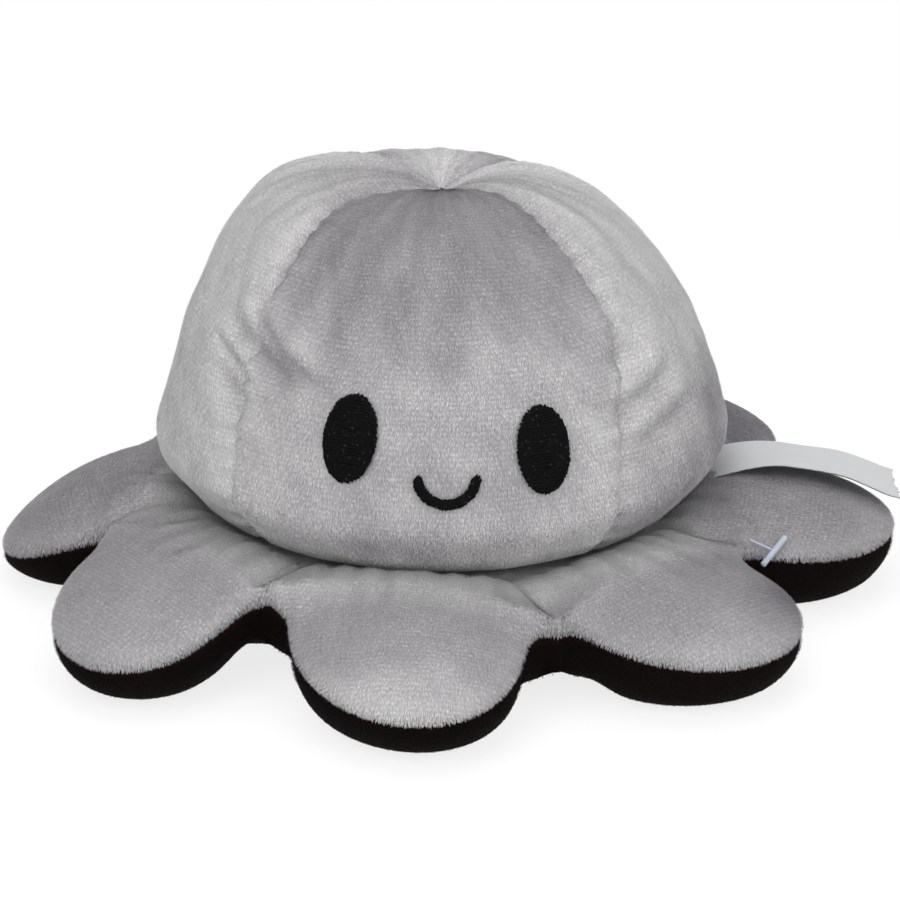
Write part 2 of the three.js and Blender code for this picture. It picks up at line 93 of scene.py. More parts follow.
# How far the front gore's two seams swing aside on their way up: share of the rise, degrees
LEFT_SWING = [(0, 4), (.22, 4), (.28, 3), (.4, 1), (.6, 0), (.65, -1), (.71, -4), (.76, -7),
              (.81, -9.5), (.86, -6), (.91, 0)]
RIGHT_SWING = [(0, -7), (.22, -7), (.37, -3), (.46, 1), (.51, 3), (.71, 3), (.77, 5), (.86, 6),
               (.92, 0)]
SEAM_SWINGS = {-140: LEFT_SWING, 220: LEFT_SWING, -46: RIGHT_SWING}
POCKET_PROFILE = [(1.05, .18), (1, .4), (.98, .66), (.77, .87), (.38, .97)]
POCKET_MOUTH, POCKET_RADIUS, POCKET_HEIGHT = 25.0, 21.0, 57.0
FOLD_HEIGHT, FOLD_RADIUS, NOTCH_HALF, SEAM_LIFT, FLAT_RADIUS = 13.5, 12.3, 5.0, 3.0, 50.0
NOTCHES = [(154, 1), (-164, 1.035), (-123.5, .952), (-71, 1.01), (-25.2, .98), (19, 1), (63, 1),
           (108, 1)]
NOTCH_RADIUS = 73.0
ARM_REACH, ARM_HALF_WIDTH, ARM_TIP_HEIGHT, ARM_RIM = 30.0, 24.5, 10.5, 1.5
REACHES = [1.01, 1.15, 1.1, 1.04, 1.17, 1.05, 1, 1]
LEANS = [.14, .33, .25, .2, .08, 0, 0, 0]
TIPS = [.52, .95, .95, 1.07, 1.22, 1, 1, .8]

# Painted sheen and shade: how light each tentacle's pile is painted, in its body and at its tip
BODY_TONES = [.18, .37, .38, .3, .2, -.13, .1, .1]
TIP_TONES = [.24, .39, .66, .41, .28, -.1, .2, .2]

# Creases in the stuffed head: azimuth and height of both ends, depth, half width
HEAD_CREASES = [(-141, 74, -119, 64.5, 1.5, 1.5), (-148, 69.8, -124, 64, 2.3, 2.5),
                (-150, 66.5, -136, 61.5, 1.4, 1.3), (-145, 60.5, -137, 56.5, 1.7, 2.8),
                (-117, 71, -108, 66, .6, 3.2), (-49, 65.5, -40, 67.5, .9, 3.2),
                (-49, 56.5, -31, 61, 1.6, 2.4), (-45, 49.5, -29, 53, 1.3, 2.2),
                (38, 58, 58, 62, 1.0, 2.6), (140, 66, 120, 61, 1.1, 2.6),
                (140, 54, 158, 58, .9, 2.4)]
CREASE_RADIUS = 58

# How far the line that is drawn into each notch swings aside on its way in, in degrees
NOTCH_SWINGS = (0, -50, 4, -5, -4, 0, 3, -3)
NOTCH_DEPTH, NOTCH_SHADE = .65, .1

# Where the toy leaves its pattern, in millimetres and degrees. The stuffing pushes the head out
# on its left; the tentacle on the far left lies lower than its neighbours; the second one's cloth
# lies across the valley beside it; and the skirt swells a little round the neck.
PUFF, PUFF_AT, PUFF_HALF, PUFF_RISE, PUFF_RISE_WIDE = 6, 165, 55, .73, .2
SUNK, SUNK_AT, SUNK_WIDE = 4.8, 142, 15
FILLED, FILLED_AT, FILLED_RADIUS, FILLED_WIDE = 5, -167, 66.0, 9
SWELL, SWELL_RADIUS, SWELL_WIDE = 1.8, 57, 5.5
LIFT_WIDE = 13

# What the upper and the under side of the skirt differ in. Lifts raise the cloth at each notch,
# inner gives radius and height of the rows that tuck in, start and level are where the skirt's
# own rows begin, and hang is how the tufts on the rim stand.
UPPER = Side(word="top", look="grey", up=1, lifts=(0, 0, 2.8, .6, 0, 0, 0, 0),
             inner=[(42.5, 19.2), (44.5, 19.9)], start=NECK_RADIUS - 1.5,
             level=NECK_HEIGHT - .6, rows=20, hang=-1.2)
UNDER = Side(word="under", look="black", up=-1, lifts=(.8, .8, 3.3, 1.4, .8, .8, .8, .8),
             inner=[(24.6, 2.3), (24.5, 1.2), (25.2, .5), (27, .3), (32, FLOOR), (38, FLOOR),
                    (44, FLOOR)], start=FLAT_RADIUS, level=FLOOR, rows=12, hang=.9)
# The most that the skirt may rise below the head: radius, height
UNDER_HEAD = [(45.5, 20.2), (47, 20.5), (50.5, 21.8), (54, 23.7), (56.5, 25.4), (59, 28.5)]
# From the rim to the seam: share of the way up, how far it tucks in
RIM_WALL = ((.3, -.1), (.6, 0), (.85, .3), (1, .9))

# Fineness of the grids, in rows and columns
HEAD_ROWS, HEAD_COLUMNS = 126, 118
POCKET_ROWS, POCKET_COLUMNS = 60, 44
ARM_ROWS, ARM_COLUMNS = 32, 73
LABEL_ROWS, LABEL_COLUMNS = 90, 41

# The pile: millimetres from row to row, how long it is on each side, and how many metres it
# stays off the floor
ROW_PITCH = 1.05
PILE_LENGTHS = {"grey": 1.0, "black": .7}
PILE_FLOOR = .00003


# ---------------------------------------------------------------- plain maths

def ease(share):
    """A smooth step from 0 to 1."""
    share = np.clip(share, 0, 1)
    return share * share * (3 - 2 * share)


def mix(a, b, share):
    return a + (b - a) * share


def bell(*offs):
    """1 in the middle of a patch and 0 far off it; each off is counted in widths."""
    return np.exp(-sum(off ** 2 for off in offs))


def bell_weights(half, width):
    weights = bell(np.arange(-half, half + 1) / width)
    return weights / weights.sum()


def rolled(values, weights, axis=0):
    """Weighted sums over neighbours round a closed ring."""
    half = len(weights) // 2
    return sum(w * np.roll(values, k, axis) for w, k in zip(weights, range(-half, half + 1)))


def turned_from(azimuth, degrees):
    """Degrees from a direction, the short way round."""
    return (np.degrees(azimuth) - degrees + 180) % 360 - 180


def around(azimuth, radius, height):
    return np.stack([radius * np.cos(azimuth), radius * np.sin(azimuth), height], -1)


def polar(points):
    """Azimuth and radius of places."""
    x, y = points[..., 0], points[..., 1]
    return np.arctan2(y, x), np.hypot(x, y)


def spot_bell(points, degrees, radius, width):
    spot = around(math.radians(degrees), radius, 0.0)
    return np.exp(-np.sum((points[..., :2] - spot[:2]) ** 2, -1) / width ** 2)


def unit(v):
    return v / np.maximum(np.linalg.norm(v, axis=-1, keepdims=True), 1e-12)


def srgb(code):
    channels = [int(code[n:n + 2], 16) / 255 for n in (1, 3, 5)]
    return tuple(c / 12.92 if c <= .04045 else ((c + .055) / 1.055) ** 2.4 for c in channels)


def place(points):
    """From millimetres about the neck's axis to metres in the shared frame."""
    return np.asarray(points, float) * MM + NECK_AXIS


class Profile:
    """A smooth line through a few places in a gore's middle, followed by its own length."""

    def __init__(self, points):
        p = np.array(points, float)
        steps = np.linspace(0, len(p) - 1, 1601)
        low = np.minimum(steps.astype(int), len(p) - 2)
        t = (steps - low)[:, None]
        a, b = p[np.maximum(low - 1, 0)], p[low]
        c, d = p[low + 1], p[np.minimum(low + 2, len(p) - 1)]
        v, w = (c - a) / 2, (d - b) / 2
        self.line = ((2 * b - 2 * c + v + w) * t ** 3 + (3 * c - 3 * b - 2 * v - w) * t ** 2
                     + v * t + b)
        length = np.concatenate([[0], np.cumsum(np.hypot(*np.diff(self.line, axis=0).T))])
        self.share, self.length = length / length[-1], length[-1]

    def at(self, rise):
        return tuple(np.interp(rise, self.share, self.line[:, n]) for n in (0, 1))

    def run(self, rise):
        """The line's direction, of unit length."""
        a, b = (self.at(np.clip(rise + step, 0, 1)) for step in (-.004, .004))
        step = unit(np.stack([b[0] - a[0], b[1] - a[1]], -1))
        return step[..., 0], step[..., 1]

    def rise_at(self, height):
        top = int(np.argmax(self.line[:, 1]))
        return np.interp(height, self.line[:top, 1], self.share[:top])


HEAD = Profile([(NECK_RADIUS, NECK_HEIGHT)]
               + [(r * HEAD_RADIUS, NECK_HEIGHT + z * HEAD_HEIGHT) for r, z in HEAD_PROFILE]
               + [(.2, NECK_HEIGHT + .95 * HEAD_HEIGHT)])
POCKET = Profile([(POCKET_MOUTH, CLOTH + .3)]
                 + [(r * POCKET_RADIUS, z * POCKET_HEIGHT) for r, z in POCKET_PROFILE]
                 + [(.2, POCKET_HEIGHT)])


# ---------------------------------------------------------------- head and pocket

def gore_seams(gore, rise):
    """Azimuths of a gore's two seams at a share of the way up."""
    return [np.radians(degrees + np.interp(rise, *zip(*SEAM_SWINGS.get(degrees, [(0, 0)]))))
            for degrees in HEAD_SEAMS[gore]]


def seam_distance(azimuth, radius, rise, gore):
    low, high = gore_seams(gore, rise)
    return np.minimum(azimuth - low, high - azimuth) * radius


def head_puff(azimuth, rise):
    side = np.cos(azimuth - math.radians(PUFF_AT)) - 1
    side = side / (1 - math.cos(math.radians(PUFF_HALF)))
    return PUFF * np.exp(side - ((rise - PUFF_RISE) / PUFF_RISE_WIDE) ** 2)


def head_creases(azimuth, height):
    depth = np.zeros_like(azimuth)
    for a0, z0, a1, z1, deep, wide in HEAD_CREASES:
        x, y = np.radians(turned_from(azimuth, a0)) * CREASE_RADIUS, height - z0
        ex, ey = math.radians(a1 - a0) * CREASE_RADIUS, z1 - z0
        long = math.hypot(ex, ey)
        along = (x * ex + y * ey) / long
        off = (x * -ey + y * ex) / long * np.sign(ex)
        fade = ease((along + 5) / 9) * ease((long + 5 - along) / 9)
        swell = bell((off - 2.1 * wide) / (1.3 * wide))
        depth += deep * fade * (bell(off / wide) - .55 * swell)
    return depth


def lumps(azimuth, height):
    """Hand-stuffed unevenness, the same on every run."""
    s = azimuth * 3
    return (.25 * np.sin(2 * s + .9 + height / 13) * np.sin(height / 9 + 1.3)
            + .22 * np.sin(5 * s + 2.1 - height / 8) * np.sin(height / 6.1)
            + .13 * np.sin(11 * s + height / 3.3) * np.sin(height / 3.9 + .7))


def head_point(azimuth, across, rise, inset, gore):
    """Places on the head: across runs over the gore and rise up it, from 0 to 1."""
    r, z = HEAD.at(rise)
    tr, tz = HEAD.run(rise)
    upper, lower = ease(2 * rise - 1), ease(4 * rise)
    edge = np.abs(2 * across - 1)
    full = 1 + .04 * upper * np.cos(azimuth - math.radians(195))
    fade = np.minimum(1, r / 25)
    # Each gore is drawn in beside its seams, which pucker the cloth
    crease = 1.3 * lower * edge ** 8 * fade
    dip = 2.2 * upper * edge ** 4 * fade
    near, arc = seam_distance(azimuth, r, rise, gore), rise * HEAD.length
    deep = mix(.6, 1.15, ease(rise * 4 - 1.2)) - .45 * ease((rise - .72) * 8)
    puckers = .3 * np.exp(-near / 4.5) * np.sin(arc * 1.25 + 1.7 * np.sin(arc / 7))
    groove = (deep * bell(near / 1.5) + puckers) * fade
    # Creases and lumps die away at the crown and the neck, and the whole head leans
    calm = ease((1 - rise) * 5) * ease(rise * 9)
    lean = (1.6 * np.cos(azimuth + math.radians(10)) * bell((rise - .8) / .13)
            - .8 * np.maximum(0, -np.cos(azimuth)) * bell((z - 48) / 16))
    outset = (head_puff(azimuth, rise) - inset - groove + lean
              - head_creases(azimuth, z) * calm + lumps(azimuth, z) * calm)
    closed = np.minimum(1, (1 - rise) * 80)
    return around(azimuth, (r * full - crease + outset * tz) * closed, z - dip - outset * tr)


def spaced(count, edge):
    """Shares from 0 to 1, closer together at both ends."""
    t = np.linspace(0, 1, count)
    return mix(t, ease(t), edge)


def head_grid(gore, inset):
    rise, across = np.meshgrid(spaced(HEAD_ROWS, .2), spaced(HEAD_COLUMNS, .55), indexing="ij")
    low, high = gore_seams(gore, rise)
    hold = np.arcsin(np.minimum(.9, .1 / np.maximum(HEAD.at(rise)[0], .12)))
    azimuth = low + hold + across * (high - low - 2 * hold)
    return head_point(azimuth, across, rise, inset, gore), azimuth, across, rise


def pocket_point(azimuth, rise, outset):
    r, z = POCKET.at(rise)
    tr, tz = POCKET.run(rise)
    return around(azimuth, r + outset * tz, z - outset * tr)


def pocket_grid(gore):
    low, high = (math.radians(a) for a in HEAD_SEAMS[gore])
    rise, across = np.meshgrid(np.linspace(0, 1, POCKET_ROWS), spaced(POCKET_COLUMNS, .4),
                               indexing="ij")
    r, z = POCKET.at(rise)
    azimuth = low + across * (high - low)
    near = np.minimum(across, 1 - across) * (high - low) * r
    groove = .9 * bell(near / 1.4) * np.minimum(1, r / 12)
    folds = .5 * np.sin(azimuth * 7 + z / 9) * ease(rise * 5) * ease((1 - rise) * 4)
    return pocket_point(azimuth, rise, groove + folds), azimuth, rise


# ---------------------------------------------------------------- skirt and tentacles

class Arm:
    """One tentacle's own frame: x runs out from the fold and y along it."""

    def __init__(self, n):
        ends = [around(math.radians(a), NOTCH_RADIUS * s, 0.0)
                for a, s in (NOTCHES[n], NOTCHES[(n + 1) % 8])]
        self.n = n + 1
        self.half = np.linalg.norm(ends[1] - ends[0]) / 2
        self.along = (ends[1] - ends[0]) / (2 * self.half)
        self.out = np.array([self.along[1], -self.along[0], 0.0])
        self.middle = (ends[0] + ends[1]) / 2
        self.reach = ARM_REACH * REACHES[n]
        self.lean = ARM_HALF_WIDTH * LEANS[n]
        self.tip = ARM_TIP_HEIGHT * TIPS[n]
        self.flare = .17 * self.reach

    def width(self, x):
        wide = (self.half - ARM_HALF_WIDTH) * (1 - np.clip(x / self.flare, 0, 1)) ** 2
        return ARM_HALF_WIDTH + wide

    def edge(self, x, y):
        """0 on the tentacle's middle line and 1 on its rim."""
        side = (y - self.lean * np.maximum(0, x) / self.reach) / self.width(x)
        ahead = np.maximum(0, x - self.flare) / (self.reach - self.flare)
        return np.minimum(1, np.hypot(side, ahead))

    def heights(self, x, y):
        """Heights of the seam, the upper and the under side."""
        edge, run = self.edge(x, y), np.maximum(0, x) / self.reach
        settled = ease(np.maximum(0, x) / 9)
        rim = mix(NOTCH_HALF, ARM_RIM, settled)
        middle = FOLD_HEIGHT + (self.tip - FOLD_HEIGHT) * run ** 1.5
        seam = middle + SEAM_LIFT * edge ** 4 * (1 - run) ** 2
        crown = FOLD_RADIUS * (1 - .2 * run)
        belly = mix(FOLD_RADIUS, middle + .5, settled)
        top = middle + rim + (crown - rim) * (1 - edge ** 2) ** .6
        under = middle - rim - (belly - rim) * (1 - edge ** (2 + 3 * settled)) ** .55
        return seam, top, np.maximum(0, under)

    def outline(self, share):
        """A place on the rim, for shares from -1 to 1 of its length."""
        turn = np.linspace(-math.pi / 2, math.pi / 2, 241)
        tip_x = self.flare + (self.reach - self.flare) * np.cos(turn)
        tip_y = ARM_HALF_WIDTH * np.sin(turn) + self.lean * tip_x / self.reach
        foot_x = np.linspace(0, self.flare, 21)[:-1]
        foot_y, lean = self.width(foot_x), self.lean * foot_x / self.reach
        x = np.concatenate([foot_x, tip_x, foot_x[::-1]])
        y = np.concatenate([-foot_y + lean, tip_y, (foot_y + lean)[::-1]])
        s = np.concatenate([[0], np.cumsum(np.hypot(np.diff(x), np.diff(y)))])
        s = 2 * s / s[-1] - 1
        return np.interp(share, s, x), np.interp(share, s, y)

    def world(self, x, y, z):
        spot = self.middle + x[..., None] * self.out + y[..., None] * self.along
        spot[..., 2] = z
        return spot


ARMS = [Arm(n) for n in range(8)]


class Ring:
    """Skirt and tentacles as columns on rays from the neck's axis, all the way round."""

    def __init__(self, columns):
        self.columns = columns
        self.owners = [arm for arm in ARMS for _ in range(columns - 1)]
        self.azimuth = np.concatenate([
            math.radians(a) + math.radians((b - a) % 360) * np.linspace(0, 1, columns)[:-1]
            for (a, _), (b, _) in zip(NOTCHES, NOTCHES[1:] + NOTCHES[:1])])
        self.ray = around(self.azimuth, 1.0, 0 * self.azimuth)
        self.out, self.middle = self.of_arm("out"), self.of_arm("middle")
        self.root = np.sum(self.middle * self.out, -1) / np.sum(self.ray * self.out, -1)
        off = self.ray * self.root[:, None] - self.middle
        self.across = np.clip(np.sum(off * self.of_arm("along"), -1) / self.of_arm("half"), -1, 1)
        self.rim = np.concatenate([arm.world(*arm.outline(np.linspace(-1, 1, 161)), 0)[:-1]
                                   for arm in ARMS])
        near = np.min([np.abs(turned_from(self.azimuth, a)) for a, _ in NOTCHES], axis=0)
        self.far = np.maximum(self.rounded_rim() - 1.9 * bell(near / 1.6), self.root + .8)
        edge = self.ray * self.far[:, None]
        step = unit(np.roll(edge, -1, 0) - np.roll(edge, 1, 0))
        self.aside = np.stack([step[:, 1], -step[:, 0], 0 * step[:, 0]], -1)

    def of_arm(self, key):
        return np.array([getattr(arm, key) for arm in self.owners])

    def rounded_rim(self):
        """The rim's radius on each ray, with its corners taken off."""
        turn, size = polar(self.rim)
        turn = np.unwrap(turn)
        turn = np.concatenate([turn - 2 * math.pi, turn, turn + 2 * math.pi])
        even = np.linspace(-math.pi, 3 * math.pi, 2881)
        smooth = np.convolve(np.interp(even, turn, np.tile(size, 3)), bell_weights(24, 6.4), "same")
        return np.interp(self.azimuth % (2 * math.pi), even, smooth)

    def heights(self, p):
        """Seam, top and under heights of a row beyond the fold."""
        rows = np.zeros((3, len(p)))
        for arm in ARMS:
            mine = np.array([owner is arm for owner in self.owners])
            off = p[mine] - arm.middle
            rows[:, mine] = arm.heights(off @ arm.out, off @ arm.along)
        return rows

    @staticmethod
    def settled(points, heights, side):
        """Heights with the cloth lifted at the notches and sunk at the far left."""
        azimuth, radius = polar(points)
        lifts = sum(lift * spot_bell(points, degrees, NOTCH_RADIUS * share, LIFT_WIDE)
                    for (degrees, share), lift in zip(NOTCHES, side.lifts))
        sunk = bell(turned_from(azimuth, SUNK_AT) / SUNK_WIDE) * ease((radius - 62) / 18)
        return heights + lifts - SUNK * sunk

    def rows(self, side):
        """A grid from the neck or the pocket's mouth to the seam on the rim, and where its
        skirt ends; and how far each place is from the rim."""
        rows = [around(self.azimuth, radius, np.full_like(self.azimuth, z))
                for radius, z in side.inner]
        bulge = FOLD_RADIUS - NOTCH_HALF
        fold = NOTCH_HALF + bulge * np.maximum(0, 1 - self.across ** 2) ** .6
        for share in np.linspace(0, 1, side.rows):
            radius = mix(side.start, self.root, share)
            z = mix(side.level, FOLD_HEIGHT + side.up * fold, ease(share))
            if side is UPPER:
                z = z + SWELL * bell((radius - SWELL_RADIUS) / SWELL_WIDE)
                z = np.minimum(z, np.interp(radius, *zip(*UNDER_HEAD)))
            rows.append(around(self.azimuth, radius, z))
        root_row = len(rows) - 1
        for t in 1 - (1 - np.linspace(0, 1, ARM_ROWS)[1:]) ** 1.6:
            p = self.ray * mix(self.root, self.far, t)[:, None]
            seam, top, under = self.heights(p)
            p[:, 2] = top if side is UPPER else under
            rows.append(p)
        grid, weights = np.stack(rows), bell_weights(7, 2.6)
        grid[..., 2] = self.settled(grid, rolled(grid[..., 2], weights, 1), side)
        seam = self.settled(grid[-1], rolled(seam, weights), side)
        if side is UPPER:
            grid[..., 2] += FILLED * spot_bell(grid, FILLED_AT, FILLED_RADIUS, FILLED_WIDE)
        edge = grid[-1]
        walls = [edge - self.aside * tuck for _, tuck in RIM_WALL]
        for wall, (share, _) in zip(walls, RIM_WALL):
            wall[:, 2] = mix(edge[:, 2], seam, share)
        grid = np.concatenate([grid, np.stack(walls)])
        # The last rows are evened out, so that the rim is round
        for _ in range(6):
            grid[-12:-1] = (grid[-13:-2] + 2 * grid[-12:-1] + grid[-11:]) / 4
        grid[..., 2] = np.maximum(grid[..., 2], FLOOR)
        return grid, root_row, self.from_rim(grid, root_row, len(walls))

    def from_rim(self, grid, root_row, walls):
        """How far each place is from the rim, as far as it is near to it."""
        away = np.full(grid.shape[:2], 99.0)
        rim = self.rim[::3, :2]
        for n in range(root_row - 8, len(grid) - walls):
            gap = grid[n, :, None, :2] - rim[None]
            away[n] = np.sqrt(np.min(np.sum(gap ** 2, -1), 1))
        away[len(grid) - walls - 1:] = 0
        return away

    def slice(self, values, first, count):
        """The columns of a run of tentacles, with the column that closes it."""
        start = first * (self.columns - 1)
        index = np.arange(start, start + count * (self.columns - 1) + 1) % values.shape[1]
        return values[:, index]


def top_wrinkles(azimuth, radius):
    """Shallow tucks that run down into the valleys beside the neck."""
    fade = ease((radius - 46) / 6) * ease((84 - radius) / 14)
    return fade * (.22 * np.sin(azimuth * 37 + radius / 6) * np.sin(azimuth * 9 + 1)
                   + .16 * np.sin(azimuth * 61 - radius / 9))


def notch_creases(azimuth, radius):
    """Lines drawn in the cloth from the head down into each notch."""
    total = np.zeros_like(azimuth)
    for (degrees, _), swing in zip(NOTCHES, NOTCH_SWINGS):
        bent = degrees + swing * ease((72 - radius) / 24)
        off = np.radians(turned_from(azimuth, bent)) * radius
        total += bell(off / 1.5) * ease((radius - 49) / 6) * ease((73 - radius) / 5)
    return total


# ---------------------------------------------------------------- meshes

def down_rows(grid):
    return unit(np.gradient(grid, axis=0))


def grid_normals(grid, like):
    """Unit normals of a grid of places, on the side of the direction that is given."""
    normal = unit(np.cross(np.gradient(grid, axis=0), np.gradient(grid, axis=1)))
    flip = np.sign(np.sum(normal * like, -1, keepdims=True))
    return normal * np.where(np.median(flip) < 0, -1.0, 1.0)


def linked(name, data):
    """A new object in the scene, of a mesh, a lamp or a camera."""
    piece = bpy.data.objects.new(name, data)
    bpy.context.scene.collection.objects.link(piece)
    return piece


def smooth(mesh):
    mesh.polygons.foreach_set("use_smooth", np.ones(len(mesh.polygons), bool))


def bake_map(mesh, uvs):
    layer = mesh.uv_layers.new(name="OFBake")
    layer.data.foreach_set("uv", np.asarray(uvs, np.float32).ravel())


def mesh_object(name, verts, faces, edges=(), attributes=None, normals=None, uvs=None):
    mesh = bpy.data.meshes.new(name)
    mesh.from_pydata(np.asarray(verts).tolist(), edges, faces)
    smooth(mesh)
    for key, values in (attributes or {}).items():
        kind, part = ("FLOAT_VECTOR", "vector") if np.ndim(values) == 2 else ("FLOAT", "value")
        layer = mesh.attributes.new(key, kind, "POINT")
        layer.data.foreach_set(part, np.asarray(values, np.float32).ravel())
    if uvs is not None:
        bake_map(mesh, uvs)
    mesh.update()
    if normals is not None:
        mesh.normals_split_custom_set_from_vertices(np.asarray(normals).tolist())
    return linked(name, mesh)


def cloth_shell(name, outer, inner, normals, attributes):
    """A closed skin of cloth: an outer and an inner grid, rolled together at the border."""
    rows, columns = outer.shape[:2]
    count = rows * columns
    index = np.arange(count).reshape(rows, columns)
    a = index[:-1, :-1].ravel()
    quads = np.stack([a, a + 1, a + columns + 1, a + columns], -1)
    p, flat_normals = outer.reshape(-1, 3), normals.reshape(-1, 3)
    face = np.cross(p[quads[:, 2]] - p[quads[:, 0]], p[quads[:, 3]] - p[quads[:, 1]])
    turn = -1 if np.median(np.sum(face * flat_normals[quads[:, 0]], -1)) < 0 else 1
    quads = quads[:, ::turn]
    ring = np.concatenate([index[0], index[1:, -1], index[-1, -2::-1], index[-2:0:-1, 0]])
    after = np.roll(ring, -1)
    walls = np.stack([after, ring, ring + count, after + count], -1)[:, ::turn]
    faces = np.concatenate([quads, quads[:, ::-1] + count, walls])
    u, v = (index.ravel() % columns + .5) / columns, (index.ravel() // columns + .5) / rows
    outer_uv = np.stack([.01 + .98 * u, .22 + .77 * v], -1)
    inner_uv = np.stack([.01 + .98 * u, .01 + .12 * v], -1)
    n, step = np.arange(len(ring)) / len(ring), 1 / len(ring)
    corners = ((n + step, .2), (n, .2), (n, .15), (n + step, .15))
    wall_uv = np.stack([np.stack([u, 0 * u + v], -1) for u, v in corners], 1)[:, ::turn]
    uvs = np.concatenate([outer_uv[quads], inner_uv[quads[:, ::-1]], wall_uv]).reshape(-1, 2)
    both = {}
    for key, values in attributes.items():
        values = values.reshape(count, *values.shape[2:])
        # No pile grows on the inner side
        both[key] = np.concatenate([values, values * (key != "thick")])
    verts = place(np.concatenate([p, inner.reshape(-1, 3)]))
    return mesh_object(name, verts, faces.tolist(), attributes=both,
                       normals=np.concatenate([flat_normals, -flat_normals]), uvs=uvs)


# ---------------------------------------------------------------- shader writing

class Wire:
    """One value in a shader, so that plain sums and products can be written on it."""

    def __init__(self, shader, socket):
        self.shader, self.socket = shader, socket

    def _maths(self, operation, *values):
        node = self.shader.add("ShaderNodeMath", dict(enumerate(values)), operation=operation)
        return Wire(self.shader, node.outputs[0])

    def __add__(self, other): return self._maths("ADD", self, other)
    def __radd__(self, other): return self._maths("ADD", other, self)
    def __sub__(self, other): return self._maths("SUBTRACT", self, other)
    def __rsub__(self, other): return self._maths("SUBTRACT", other, self)
    def __mul__(self, other): return self._maths("MULTIPLY", self, other)
    def __rmul__(self, other): return self._maths("MULTIPLY", other, self)
    def sine(self): return self._maths("SINE", self)

    def between(self, low, high):
        node = self.shader.add("ShaderNodeMapRange", {"Value": self, "From Min": low,
                                                      "From Max": high},
                               interpolation_type="SMOOTHSTEP")
        return Wire(self.shader, node.outputs["Result"])


class Shader:
    """A node tree, written one node at a time."""

    def __init__(self, name, tree=None):
        if tree is None:
            self.material = bpy.data.materials.new(name)
            self.material.use_nodes = True
            tree = self.material.node_tree
        self.tree = tree
        self.tree.nodes.clear()

    def add(self, kind, sockets=None, **settings):
        node = self.tree.nodes.new(kind)
        for key, value in settings.items():
            setattr(node, key, value)
        for key, value in (sockets or {}).items():
            self.feed(node.inputs[key], value)
        return node

    def out(self, kind, sockets=None, output=0, **settings):
        """A node's output, as it is."""
        return self.add(kind, sockets, **settings).outputs[output]

    def value(self, *args, **settings):
        """A node's output, to be reckoned with."""
        return Wire(self, self.out(*args, **settings))

    def feed(self, socket, value):
        if isinstance(value, Wire):
            value = value.socket
        if isinstance(value, bpy.types.NodeSocket):
            self.tree.links.new(value, socket)
        elif socket.type == "RGBA":
            socket.default_value = (*value[:3], 1.0)
        else:
            socket.default_value = value

    def place(self, scale=(1, 1, 1)):
        coords = self.out("ShaderNodeTexCoord", output="Object")
        return self.out("ShaderNodeMapping", {"Vector": coords, "Scale": scale})

    def attribute(self, name):
        return self.value("ShaderNodeAttribute", output="Fac", attribute_name=name)

    def rays(self, *kinds):
        """1 for rays of these kinds, and 0 for all others."""
        path = self.add("ShaderNodeLightPath").outputs
        return sum(Wire(self, path["Is %s Ray" % kind]) for kind in kinds)

    def noise(self, scale, detail=2.0, stretch=(1, 1, 1)):
        return self.value("ShaderNodeTexNoise", {"Vector": self.place(stretch), "Scale": scale,
                                                 "Detail": detail}, "Fac")

    def colour(self, share, first, second):
        return self.out("ShaderNodeMix", {0: share, 6: first, 7: second}, 2, data_type="RGBA")

    def darken(self, colour, amount):
        """A colour times a value."""
        return self.out("ShaderNodeVectorMath", {0: colour, "Scale": amount}, operation="SCALE")

    def bump(self, height, distance, strength):
        return self.out("ShaderNodeBump", {"Height": height, "Distance": distance,
                                           "Strength": strength})

    def surface(self, **inputs):
        names = {key.replace("_", " "): value for key, value in inputs.items()}
        surface = self.out("ShaderNodeBsdfPrincipled", names)
        self.add("ShaderNodeOutputMaterial", {"Surface": surface})
        return self.material


# ---------------------------------------------------------------- settings

def metres(name, description, default):
    return FloatProperty(name=name, description=description, default=default, unit="LENGTH")


def amount(name, description, default):
    return FloatProperty(name=name, description=description, default=default)


def paint(name, description, code):
    return FloatVectorProperty(name=name, description=description, default=srgb(code),
                               subtype="COLOR")


class OctopusPile(PropertyGroup):
    length: metres("Pile length", "Length of a tuft of the plush", .00092)
    width: metres("Tuft width", "Widest place of a tuft", .00019)
    head_density: amount("Head tufts", "Tufts per square metre", 1.1e7)
    arm_density: amount("Tentacle tufts", "Tufts per square metre", 1.08e7)
    black_density: amount("Black tufts", "Tufts per square metre", 4.6e6)
    pocket_share: amount("Pocket tufts", "Share of the black tufts in the pocket", .4)
    lift: amount("Lift", "How far the pile stands up", .17)
    mess: amount("Mess", "How unevenly the pile lies", .03)
    seed: IntProperty(name="Seed", description="Seed of the pile's unevenness", default=7)


class OctopusColours(PropertyGroup):
    # The light and the dark grey are one pile, lit and shaded: the tone between them is painted
    # sheen and shade
    grey_light: paint("Light grey", "Brushed tips of the pile", "#c7c6c6")
    grey_dark: paint("Dark grey", "Pile brushed the other way", "#716e74")
    black: paint("Black plush", "The other side of the toy", "#060506")
    backing: paint("Backing", "Brown root of the black pile", "#2e1a15")
    black_thread: paint("Black thread", "Embroidered face", "#060608")
    white_thread: paint("White thread", "Face inside the pocket", "#e4e3e0")
    tape: paint("Tape", "Sewn-in bare label tape", "#b3b4b6")
    plastic: paint("Plastic", "Clear tag fastener", "#b7c1d2")


class OctopusSizes(PropertyGroup):
    pile_room: metres("Room for pile", "How far the cloth lies in", .0003)
    thread_radius: metres("Thread radius", "Half an embroidery thread", .0002)
    thread_pitch: metres("Thread pitch", "From thread to thread", .00028)
    tape_thickness: metres("Tape thickness", "Thickness of the label", .00032)


# ---------------------------------------------------------------- materials

